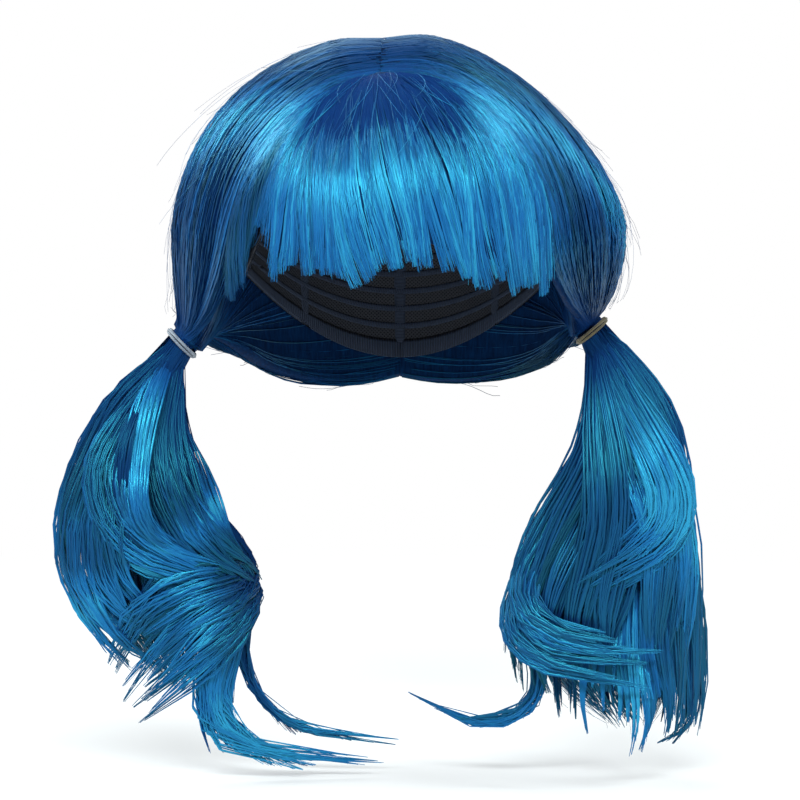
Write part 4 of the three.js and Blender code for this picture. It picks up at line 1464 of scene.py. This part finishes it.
TIP_POINT_FROM = 0.68
LOCK_STRAND_SWAY = 0.2
LOCK_STRAND_WAVES = (0.8, 2.0)
FRONT_FLATNESS = 0.35  # locks in front lie flatter than the body, and those behind wrap round it
FLATNESS_FADE = (-6, 10)
BEND_CROWDING = 1.2
PIGTAIL_FULLER = 1.55  # strands are this much wider here
BACK_FULLER = 1.6  # and this much wider again behind, where fewer of them lie
BACK_FADE = (0, 12)  # from how far behind the tie to how far they widen
PIGTAIL_ROOT_TAPER = (0.8, 0.1)  # a strand's width at its root, and the share by which it is full
PIGTAIL_TIP_TAPER = (0.3, 0.86)  # its width at its tip, and the share from which it narrows
FLOOR_CLEAR = 0.4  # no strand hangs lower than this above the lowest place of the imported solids


def lock_line(name, knots):
    """The line of a lock and its spread, with even steps and rounded corners."""
    side = SIDES[name]
    knots = np.array(knots, float)
    on_way = pigtail_place(name, knots[:, 0], knots[:, 2], knots[:, 1])
    start = np.array([tie_along(side) * TOUCH_GAP / 2, tie_along(side) * TIE_WIDTH])
    line = np.concatenate([start, on_way])
    spread = np.concatenate([[NECK_SPREAD, NECK_SPREAD], knots[:, 3]])
    step = np.concatenate([[0], np.cumsum(np.linalg.norm(np.diff(line, axis=0), axis=1))])
    even = np.linspace(0, step[-1], LINE_PLACES)
    columns = [np.interp(even, step, column) for column in (*line.T, spread)]
    return soften(np.stack(columns, axis=1), LINE_ROUNDS)


def heart_of(name, line):
    """The middle of the pigtail's body at the height of each place."""
    rows = PIGTAIL_BODIES[name]
    out = np.interp(-line[:, 2] / PIGTAIL_LENGTH, rows[:, 0], rows[:, 1])
    return places(SIDES[name]["hand"] * out * PIGTAIL_WIDTH, 0, line[:, 2])


def along_at(rows, share):
    """Rows of an evenly stepped table at any share of its length."""
    at = share * (len(rows) - 1)
    low = np.clip(np.floor(at).astype(int), 0, len(rows) - 2)
    return lerp(rows[low], rows[low + 1], (at - low)[..., None])


def oval_spots(chance, count):
    """Two rows of places in a disc, in random order and evenly spread from its one side to the other."""
    across = (chance.permutation(count) + chance.random(count)) / count * 2 - 1
    return np.stack([across, chance.uniform(-1, 1, count) * np.sqrt(1 - across**2)])


def lock_steps(middle):
    """The places of a strand as shares of its lock's line. They lie closer where the line bends."""
    bend = np.linalg.norm(np.gradient(run_of(middle), axis=0), axis=1)
    way = np.cumsum(1 + BEND_CROWDING * bend / bend.mean())
    way = (way - way[0]) / (way[-1] - way[0])
    return np.interp(np.linspace(0, 1, LOCK_PLACES), way, np.linspace(0, 1, len(middle)))


def lock_strands(name, lock, highlights, late, chance):
    """Paths, outward directions, shades and UV heights of one lock's strands."""
    wide, thick, count, shade, knots = lock
    line = lock_line(name, knots)
    middle, spread = line[:, :3], line[:, 3:]
    steps = lock_steps(middle)[None]
    round_back = lerp(FRONT_FLATNESS, 1, ease(middle[:, 1], *FLATNESS_FADE))
    outward = unit((middle - heart_of(name, middle)) * places(round_back, 1, HEART_RISE) + OUT_BIAS)
    side = unit(np.cross(run_of(middle), outward))
    lift = np.cross(side, run_of(middle))
    ahead = along_at(np.abs(lift[:, 1:2]), steps)[..., 0]
    tufts = max(FEWEST_TUFTS, round(count / TUFT_STRANDS))
    tuft = np.arange(count) * tufts // count
    tuft_length = (1 - TUFT_SHORTER * chance.random(tufts) ** TUFT_SHORTER_POWER)[tuft][:, None]
    share = shift_steps(chance, count, steps[0])
    share = share * tuft_length * (1 - TUFT_STRAND_SHORTER * chance.random((count, 1)) ** 2)
    near_end = ease(share / tuft_length, TIP_POINT_FROM, 1)
    tuft_spot = oval_spots(chance, tufts)[:, tuft, None]
    in_tuft = oval_spots(chance, count)[..., None] * TUFT_SPREAD / math.sqrt(tufts)
    spot = tuft_spot + in_tuft * lerp(1, TIP_POINT, near_end)
    reach = along_at(spread, share)[..., 0]
    swing = chance.normal(0, TIP_SPLAY, (2, tufts))[:, tuft, None] * ease(share, TIP_SPLAY_FROM, 1)
    wave = sway(chance, tufts, steps, TUFT_WAVES, TUFT_WAVE * wide)[tuft]
    wave = wave + sway(chance, count, share, LOCK_STRAND_WAVES, LOCK_STRAND_SWAY)
    swell = sway(chance, 1, steps, LOCK_SWELL_WAVES, LOCK_SWELL)
    swell = swell + sway(chance, tufts, steps, TUFT_SWELL_WAVES, TUFT_SWELL)[tuft]
    aside = spot[0] * reach * wide * PIGTAIL_WIDTH + swing[0] + wave
    path = along_at(middle, share) + along_at(side, share) * aside[..., None]
    rise = spot[1] * np.minimum(reach, 1) * thick * PIGTAIL_WIDTH + swing[1] / 2 + swell * ahead
    path = path + along_at(lift, share) * rise[..., None]
    shades = shade + chance.normal(0, STRAND_SHADES, tufts)[tuft][:, None]
    shades = shades + chance.normal(0, TUFT_SHADES, (count, 1))
    # Painted highlights lighten the strands along part of the lock.
    for highlight_at, highlight_reach, lighter in highlights:
        shades = shades + lighter * (1 - ease(np.abs(share - highlight_at), 0, highlight_reach))
    return path, unit(along_at(outward, share)), shades + 0 * share, share**late


BODY_STRANDS = 330
BODY_SHADE = 0.25
BODY_SIZES = (0.8, 0.94)  # how far out they lie, as a share of the body
BODY_LENGTHS = (0.78, 1.0)
BODY_START = 0.06
BODY_WIND = 0.35  # how far they wind round the body, by chance
BODY_TWIST = 0.25  # and all together
BODY_SWAY = 1.4
BODY_SPLAY = 3.0
BODY_SPLAY_FROM = 0.7


def body_strands(name, chance):
    """Strands that follow the round body of a pigtail on all its sides."""
    side = SIDES[name]
    count = BODY_STRANDS
    at = np.linspace(0, 1, LOCK_PLACES)[None]
    turn = chance.random((count, 1)) * 2 * np.pi
    wind = chance.normal(0, BODY_WIND, (count, 1)) + BODY_TWIST * np.sin(2 * turn)
    size = chance.uniform(*BODY_SIZES, (count, 1))
    station = np.clip((at - BODY_START) / (1 - BODY_START), 0, 1)
    station = station * chance.uniform(*BODY_LENGTHS, (count, 1))
    on_body = body_place(name, station, turn + wind * at, size)
    start = neck_circle(side, turn) * NECK_RADIUS * size[..., None] + tie_along(side) * TOUCH_GAP / 2
    path = soften(np.concatenate([start, on_body[:, 1:]], axis=1), 1)
    heart = heart_of(name, path.reshape(-1, 3)).reshape(path.shape)
    outward = unit(path - heart + OUT_BIAS)
    across = unit(np.cross(run_of(path), outward))
    drift = sway(chance, count, at, TUFT_WAVES, BODY_SWAY)
    drift = drift + chance.normal(0, BODY_SPLAY, (count, 1)) * ease(at, BODY_SPLAY_FROM, 1)
    shades = BODY_SHADE + chance.normal(0, STRAND_SHADES, (count, 1)) + 0 * station
    return path + across * drift[..., None], outward, shades, at + 0 * station


def above_floor(paths):
    """Lifts what would hang too low."""
    paths[..., 2] = np.maximum(paths[..., 2], solid_box[0].z / MM + FLOOR_CLEAR)
    return paths


def make_pigtail(name):
    chance = np.random.default_rng(PIGTAIL_SEEDS[name])
    made = []
    for lock_name, lock in PIGTAIL_LOCKS[name].items():
        highlights = PAINTED_HIGHLIGHTS[name].get(lock_name, [])
        late = LATE_SHADOWS[name].get(lock_name, 1)
        made.append(lock_strands(name, lock, highlights, late, chance))
    made.append(body_strands(name, chance))
    paths, outward, shades, up = (np.concatenate(parts) for parts in zip(*made))
    fuller = PIGTAIL_FULLER * lerp(1, BACK_FULLER, ease(paths[..., 1], *BACK_FADE))
    paths = above_floor(from_tie(name, paths))
    shares = np.linspace(0, 1, LOCK_PLACES)[None]
    at_root = lerp(PIGTAIL_ROOT_TAPER[0], 1, ease(shares, 0, PIGTAIL_ROOT_TAPER[1]))
    at_tip = lerp(1, PIGTAIL_TIP_TAPER[0], ease(shares, PIGTAIL_TIP_TAPER[1], 1))
    taper = at_root * at_tip
    half = chance.uniform(*STRAND_HALF_WIDTH, (len(paths), 1)) * taper * fuller
    return make_strands(
        "pigtail_strands_" + name, paths, outward, half, shades, pigtail_fibre, up, SHEET_ROUNDNESS
    )


for side_name in SIDES:
    dress(make_pigtail(side_name), "hair", "pigtail_" + side_name)

# %% [markdown]
# ## Loose fibres
#
# No wig is perfectly smooth. A few hundred thin fibres stand off the crown, lie across the fringe
# at a slant and stray from the pigtails. They are much thinner than the strands. Each kind has its
# own row of numbers: how many there are, where they start, how long they are, how far they slant,
# how far they bend and how far and how often they sway.
# %% Loose fibres
LOOSE_SEED = 41
LOOSE_HALF_WIDTH = (0.09, 0.15)
LOOSE_SHADES = (0.35, 0.85)
LOOSE_PLACES = 11
LOOSE_ON_HALF = (200, (0.0, 0.62), (0.12, 0.4), 0.06, 3.0, (1.2, (0.4, 1.2)))  # on each side
LOOSE_ON_FRINGE = (75, (0.14, 0.5), (0.15, 0.45), 0.08, 4.0, (0.6, (0.3, 0.8)))
LOOSE_ON_PIGTAIL = (60, (0.2, 0.75), (0.1, 0.4), 0.5, 3.5, (1.5, (0.4, 1.2)))  # on each side
LOOSE_HALF_END = 0.88  # no loose fibre of a half comes nearer to the tie
LOOSE_PIGTAIL_END = 0.99
LOOSE_DEPTH = 0.97  # how deep in the hair they start, as a share of its thickness
LOOSE_BACKWARDS = 0.8  # below 1, more of them lie towards the nape
LOOSE_LIFT = (0.03, 0.14, 0.5)  # how far they lift: the least, the usual, and that of a few
LOOSE_LIFT_POWER = 1.6
LOOSE_FEW = 9  # the higher, the fewer lift far
LOOSE_FRINGE_ACROSS = (0.1, 0.9)
LOOSE_FRINGE_LIFT = (0.03, 0.12)
LOOSE_PIGTAIL_SIZE = (0.88, 0.1, 0.2)
LOOSE_PIGTAIL_POWER = 0.7
LOOSE_SHARE = np.linspace(0, 1, LOOSE_PLACES)[None]


def bent(path, outward, count, bend, swaying, chance):
    """The same fibres, bent and swaying across their way."""
    across = unit(np.cross(run_of(path), outward))
    size, waves = swaying
    aside = chance.normal(0, bend, (count, 1)) * LOOSE_SHARE**2
    aside = aside + sway(chance, count, LOOSE_SHARE, waves, size)
    return path + across * aside[..., None]


def loose_on_half(name, chance):
    """Fibres that lie across a combed half at a slant and lift off it towards their ends."""
    count, starts, lengths, slant, bend, swaying = LOOSE_ON_HALF
    start = chance.uniform(*starts, (count, 1))
    at = np.minimum(start + chance.uniform(*lengths, (count, 1)) * LOOSE_SHARE, LOOSE_HALF_END)
    u = chance.random((count, 1)) ** LOOSE_BACKWARDS
    u = np.clip(u + chance.normal(0, slant, (count, 1)) * LOOSE_SHARE, 0, 1)
    least, most, far = LOOSE_LIFT
    lift = least + most * chance.random((count, 1)) + far * chance.random((count, 1)) ** LOOSE_FEW
    path = combed_place(SIDES[name], u, at, LOOSE_DEPTH + lift * LOOSE_SHARE**LOOSE_LIFT_POWER)
    return beside(name, bent(path, unit(path), count, bend, swaying, chance)), unit(path)


def loose_on_fringe(chance):
    """Fibres that start at the parting and lie across the fringe at a slant."""
    count, starts, lengths, slant, bend, swaying = LOOSE_ON_FRINGE
    across = chance.uniform(*LOOSE_FRINGE_ACROSS, (count, 1))
    across = np.clip(across + chance.normal(0, slant, (count, 1)) * LOOSE_SHARE, 0, 1)
    row = chance.uniform(*starts, (count, 1)) + chance.uniform(*lengths, (count, 1)) * LOOSE_SHARE
    least, most = LOOSE_FRINGE_LIFT
    lift = least + most * chance.random((count, 1))
    path = fringe_place(across, row, 1 + lift * LOOSE_SHARE, 1, 1)
    outward = unit(path - CENTRE)
    return bent(path, outward, count, bend, swaying, chance), outward


def loose_on_pigtail(name, chance):
    """Fibres that leave a pigtail at a slant and hang beside it."""
    count, starts, lengths, slant, bend, swaying = LOOSE_ON_PIGTAIL
    start = chance.uniform(*starts, (count, 1))
    station = np.minimum(start + chance.uniform(*lengths, (count, 1)) * LOOSE_SHARE, LOOSE_PIGTAIL_END)
    turn = chance.random((count, 1)) * 2 * np.pi + chance.normal(0, slant, (count, 1)) * LOOSE_SHARE
    least, most, far = LOOSE_PIGTAIL_SIZE
    size = most + far * chance.random((count, 1)) ** 2
    size = least + size * LOOSE_SHARE**LOOSE_PIGTAIL_POWER
    path = body_place(name, station, turn, size)
    outward = unit(path * np.array([1, 1, 0]) + OUT_BIAS)
    return from_tie(name, bent(path, outward, count, bend, swaying, chance)), outward


def make_loose(seed):
    chance = np.random.default_rng(seed)
    made = [make(name, chance) for name in SIDES for make in (loose_on_half, loose_on_pigtail)]
    made.append(loose_on_fringe(chance))
    paths, outward = (np.concatenate(parts) for parts in zip(*made))
    half = chance.uniform(*LOOSE_HALF_WIDTH, (len(paths), 1)) * np.ones((1, LOOSE_PLACES))
    shades = chance.uniform(*LOOSE_SHADES, len(paths))
    return make_strands("loose_fibres", above_floor(paths), outward, half, shades, combed_fibre)


dress(make_loose(LOOSE_SEED), "hair")

# %% [markdown]
# ## The elastic ties
#
# Each pigtail is held by a thin elastic that is wound round the hair three times: two turns lie
# side by side and the last one crosses over them. One turn is a small circle spun round the hair.
# The left elastic is pale and the right one is tan.
# %% Ties
TIE_CORD = 0.62  # half thickness of the elastic
TIE_STEPS = 56
TIE_CORD_SIDES = 12
# Turns of the elastic: its place along the hair, its lift off the hair, and its tilt in degrees.
TIE_TURNS = [(-0.72, 0.0, 1.5), (0.72, 0.0, -1.0), (0.05, 0.5, 6.0)]
ELASTIC_WEAVE = 2600.0  # how fine the braid of the elastic is
ELASTIC_WEAR = 300.0  # and how fine its worn spots are
ELASTIC_BUMP = (0.0002, 0.8)
ELASTIC_FADE = (0.3, 0.7)
ELASTIC_ROUGHNESS = (0.55, 0.8)
ELASTIC_SHEEN = 0.3


def elastic_finish(name, light, dark):
    finish = Finish(name)
    place = finish.object_place()
    weave = finish.noise(place, ELASTIC_WEAVE)
    worn = finish.noise(place, ELASTIC_WEAR)
    surface = {
        "Base Color": finish.mix(worn.between(*ELASTIC_FADE), dark, light),
        "Roughness": lerp(*ELASTIC_ROUGHNESS, worn),
        "Normal": finish.bump(weave, *ELASTIC_BUMP),
        "Sheen Weight": ELASTIC_SHEEN,
    }
    return finish.close(finish.shader(surface))


UP = Vector((0, 0, 1))
MIDDLE = Vector((0, 0, 0))


def make_tie(name, finish):
    bm = bmesh.new()
    for along, lift, tilt in TIE_TURNS:
        section = bmesh.ops.create_circle(bm, segments=TIE_CORD_SIDES, radius=TIE_CORD * MM)["verts"]
        upright = Matrix.Rotation(math.pi / 2, 3, "X")
        bmesh.ops.rotate(bm, verts=section, cent=MIDDLE, matrix=upright)
        reach = (TIE_BORE / 2 + TIE_CORD + lift) * MM
        bmesh.ops.translate(bm, verts=section, vec=(reach, 0, 0))
        geom = section + [edge for edge in bm.edges if edge.is_wire]
        whole = {"angle": 2 * math.pi, "steps": TIE_STEPS, "use_merge": True}
        bmesh.ops.spin(bm, geom=geom, axis=UP, cent=MIDDLE, **whole)
        turn = [vert for vert in bm.verts if not vert.tag]
        lean = Matrix.Rotation(math.radians(tilt), 3, "X")
        bmesh.ops.rotate(bm, verts=turn, cent=MIDDLE, matrix=lean)
        bmesh.ops.translate(bm, verts=turn, vec=UP * along * MM)
        for vert in turn:
            vert.tag = True
    bmesh.ops.recalc_face_normals(bm, faces=bm.faces)
    lie = UP.rotation_difference(Vector(tie_along(SIDES[name]))).to_matrix()
    bmesh.ops.rotate(bm, verts=bm.verts, cent=MIDDLE, matrix=lie)
    bmesh.ops.translate(bm, verts=bm.verts, vec=Vector(from_tie(name, np.zeros(3)) * MM))
    return add_piece("wound_tie_" + name, bm, finish)


TIE_FINISHES = {
    "left": ("pale_elastic", rgb(0.24, 0.28, 0.33), rgb(0.14, 0.18, 0.24)),
    "right": ("tan_elastic", rgb(0.13, 0.11, 0.05), rgb(0.07, 0.06, 0.03)),
}
for side_name, (slot_name, light, dark) in TIE_FINISHES.items():
    tie = make_tie(side_name, elastic_finish(slot_name, light, dark))
    dress(tie, slot_name, "tie_" + side_name)

# %% [markdown]
# ## The net cap
#
# Inside, the wig is a cap of dark stretch net. The hair is machine-sewn in rows to narrow tapes
# that run from ear to ear, a few straps run down over them, and a soft tape binds the rim. The cap
# is the upper half of a sphere whose every point is moved out to the cap's own form, and its wall
# is given its thickness afterwards. A bump in the cap's own UV map draws the holes of the net.
# %% The form of the cap
RIM_AT_FRONT = 58
RIM_AT_SIDE = 88
RIM_AT_BACK = 117
EAR_TAB_DROP = 9
EAR_TAB_AZIMUTH = 62
EAR_TAB_SPREAD = 11
CAP_COLUMNS = 96
CAP_ROWS = 56
NET_HOLE = 1.9  # from hole to hole, in millimetres
NET_REACH_ROUND = 96  # about how far the cap is from its middle, round it and down it
NET_REACH_DOWN = 108
NET_THREAD = rgb(0.022, 0.026, 0.036)
NET_DARK = rgb(0.004, 0.006, 0.012)
NET_BUMP = (0.0004, 0.9)
NET_FADE = (0.55, 0.85)
NET_ROUGHNESS = (0.62, 0.87)
NET_SPECULAR = 0.35


def rim_polar(azimuth):
    facing = np.cos(np.radians(azimuth))
    level = lerp(RIM_AT_SIDE, np.where(facing > 0, RIM_AT_FRONT, RIM_AT_BACK), facing**2)
    from_tab = (np.abs(azimuth) - EAR_TAB_AZIMUTH) / EAR_TAB_SPREAD
    return level + EAR_TAB_DROP * np.exp(-(from_tab**2))


def cap_aim(azimuth, share):
    """The direction of a place on the cap: share is 0 at the crown and 1 at the rim."""
    wrapped = (azimuth + 180) % 360 - 180
    fall = np.radians(rim_polar(wrapped) * share)
    turn = np.radians(azimuth)
    return places(np.sin(fall) * np.sin(turn), -np.sin(fall) * np.cos(turn), np.cos(fall))


def net_finish():
    finish = Finish("dark_net")
    across, down = finish.split(finish.uv_place("net"))
    rising, falling = ((way * math.pi).sine().size() for way in (across + down, across - down))
    hole = 1 - rising.larger(falling).between(*NET_FADE)
    surface = {
        "Base Color": finish.mix(hole, NET_THREAD, NET_DARK),
        "Roughness": lerp(*NET_ROUGHNESS, hole),
        "Normal": finish.bump(1 - hole, *NET_BUMP),
        "Specular IOR Level": NET_SPECULAR,
    }
    return finish.close(finish.shader(surface))


JUST_BELOW = -0.001


def make_cap():
    bm = bmesh.new()
    bmesh.ops.create_uvsphere(bm, u_segments=CAP_COLUMNS, v_segments=CAP_ROWS, radius=1)
    below = [vert for vert in bm.verts if vert.co.z < JUST_BELOW]
    bmesh.ops.delete(bm, geom=below, context="VERTS")
    spots = np.array([vert.co for vert in bm.verts])
    azimuth = np.degrees(np.arctan2(spots[:, 0], -spots[:, 1]))
    share = np.degrees(np.arccos(np.clip(spots[:, 2], -1, 1))) / 90
    d = cap_aim(azimuth, share)
    moved = (d * cap_radius(d)[:, None] + CENTRE) * MM
    layer = bm.loops.layers.uv.new("net")
    for vert, spot in zip(bm.verts, moved):
        vert.co = spot
    for face in bm.faces:
        middle = face.calc_center_median() - Vector(CENTRE * MM)
        about = math.atan2(middle.x, -middle.y)
        for loop in face.loops:
            way = loop.vert.co - Vector(CENTRE * MM)
            turn = math.atan2(way.x, -way.y)
            turn += 2 * math.pi * round((about - turn) / (2 * math.pi))
            fall = way.angle(UP)
            loop[layer].uv = (turn * NET_REACH_ROUND / NET_HOLE, fall * NET_REACH_DOWN / NET_HOLE)
    bmesh.ops.recalc_face_normals(bm, faces=bm.faces)
    bmesh.ops.solidify(bm, geom=bm.faces[:], thickness=CAP_WALL * MM)
    return add_piece("net_cap", bm, net_finish())


dress(make_cap(), "net", "wig_cap")

# %% [markdown]
# The tapes are all made by one function: a grid is laid along a line on the inside of the cap, its
# middle is raised a little, and it is given a thickness. The rows of sewn hair show as fine ribs
# across the tape.
# %% Tapes inside the cap
TAPE_WALL = 0.5
TAPE_GAP = 0.1  # between the cap and a tape
TAPE_COLUMNS = 4
# A row of sewn hair: its width, how high its middle is raised and its steps along.
WEFT_ROWS = 17
WEFT_WIDTH = 2.6
WEFT_CROWN = 0.35
WEFT_STEPS = 72
WEFT_LEVELS = (0.24, 0.93)  # the first and the last row, as shares of the way down
WEFT_ENDS = (74, 286)  # from ear to ear, in degrees
STRAP_WIDTH = 5.0
STRAP_CROWN = 0.25
STRAP_STEPS = 40
STRAP_ENDS = (0.2, 0.97)
STRAP_WIDEST_AT = 0.3  # nearer to the crown a strap keeps its angle, and so it narrows
RIM_TAPE_WIDTH = 7.0
RIM_TAPE_CROWN = 0.3
RIM_TAPE_STEPS = 144
RIM_TAPE_EDGE = 1.004  # it turns a little way over the rim
CAP_FALL = {"weft": 200, "strap": 100, "rim": 190}  # the length in millimetres that a share stands for
STRAP_AZIMUTHS = (116, 148, 180, 212, 244)
WEFT_RIBS = 9000.0  # how close the ribs across a tape stand
RIM_RIBS = 5000.0
TAPE_FLUFF = 1500.0  # how fine the fluff on a tape is
TAPE_DARK = rgb(0.006, 0.010, 0.022)
TAPE_LIGHT = rgb(0.020, 0.040, 0.085)
TAPE_BUMP = (0.0003, 0.8)
TAPE_ROUGHNESS = (0.6, 0.9)
RIB_SHARE = 0.6  # how much of the pattern the ribs make, and the fluff the rest
FLUFF_HEIGHT = 0.4


def tape_finish(name, ribs):
    """Dark woven tape with ribs across it."""
    finish = Finish(name)
    along, _ = finish.split(finish.uv_place("tape"))
    rib = (along * ribs).sine() * 0.5 + 0.5
    fluff = finish.noise(finish.object_place(), TAPE_FLUFF)
    surface = {
        "Base Color": finish.mix(rib * RIB_SHARE + fluff * (1 - RIB_SHARE), TAPE_DARK, TAPE_LIGHT),
        "Roughness": lerp(*TAPE_ROUGHNESS, fluff),
        "Normal": finish.bump(rib + fluff * FLUFF_HEIGHT, *TAPE_BUMP),
    }
    return finish.close(finish.shader(surface))


def lay_tape(bm, where, steps, crown):
    """Lays one tape. Where gives the cap's direction at a share along and a share across it."""
    layer = bm.loops.layers.uv.verify()
    sides = {"x_segments": steps, "y_segments": TAPE_COLUMNS}
    laid = bmesh.ops.create_grid(bm, size=0.5, calc_uvs=True, **sides)["verts"]
    flat = np.array([vert.co for vert in laid]) + 0.5
    d = where(flat[:, 0], flat[:, 1])
    raised = crown * (1 - (2 * flat[:, 1] - 1) ** 2)
    spots = (d * (inner_radius(d) - TAPE_GAP - raised)[:, None] + CENTRE) * MM
    faces = list({face for vert in laid for face in vert.link_faces})
    for vert, spot in zip(laid, spots):
        vert.co = spot
    length = float(np.linalg.norm(spots[1] - spots[0])) * steps
    for face in faces:
        for loop in face.loops:
            loop[layer].uv.x *= length
    middle = Vector(CENTRE * MM)
    for face in faces:
        if face.normal.dot(middle - face.calc_center_median()) < 0:
            face.normal_flip()
    bmesh.ops.solidify(bm, geom=faces, thickness=-TAPE_WALL * MM)


def make_tapes():
    bm = bmesh.new()
    bm.loops.layers.uv.new("tape")
    for row in range(WEFT_ROWS):
        level = lerp(*WEFT_LEVELS, row / (WEFT_ROWS - 1))

        def across_back(along, width, level=level):
            return cap_aim(lerp(*WEFT_ENDS, along), level + (width - 0.5) * WEFT_WIDTH / CAP_FALL["weft"])

        lay_tape(bm, across_back, WEFT_STEPS, WEFT_CROWN)
    for azimuth in STRAP_AZIMUTHS:

        def down_back(along, width, azimuth=azimuth):
            share = lerp(*STRAP_ENDS, along)
            spread = np.degrees(STRAP_WIDTH / CAP_FALL["strap"]) / np.maximum(share, STRAP_WIDEST_AT)
            return cap_aim(azimuth + (width - 0.5) * spread, share)

        lay_tape(bm, down_back, STRAP_STEPS, STRAP_CROWN)
    return add_piece("sewn_tapes", bm, tape_finish("sewn_tape", WEFT_RIBS))


def make_rim_tape():
    bm = bmesh.new()
    bm.loops.layers.uv.new("tape")

    def round_rim(along, width):
        inner_edge = 1 - RIM_TAPE_WIDTH / CAP_FALL["rim"]
        return cap_aim(lerp(-180, 180, along), lerp(RIM_TAPE_EDGE, inner_edge, width))

    lay_tape(bm, round_rim, RIM_TAPE_STEPS, RIM_TAPE_CROWN)
    return add_piece("rim_tape", bm, tape_finish("rim_binding", RIM_RIBS))


for trim in (make_tapes(), make_rim_tape()):
    dress(trim, "net")
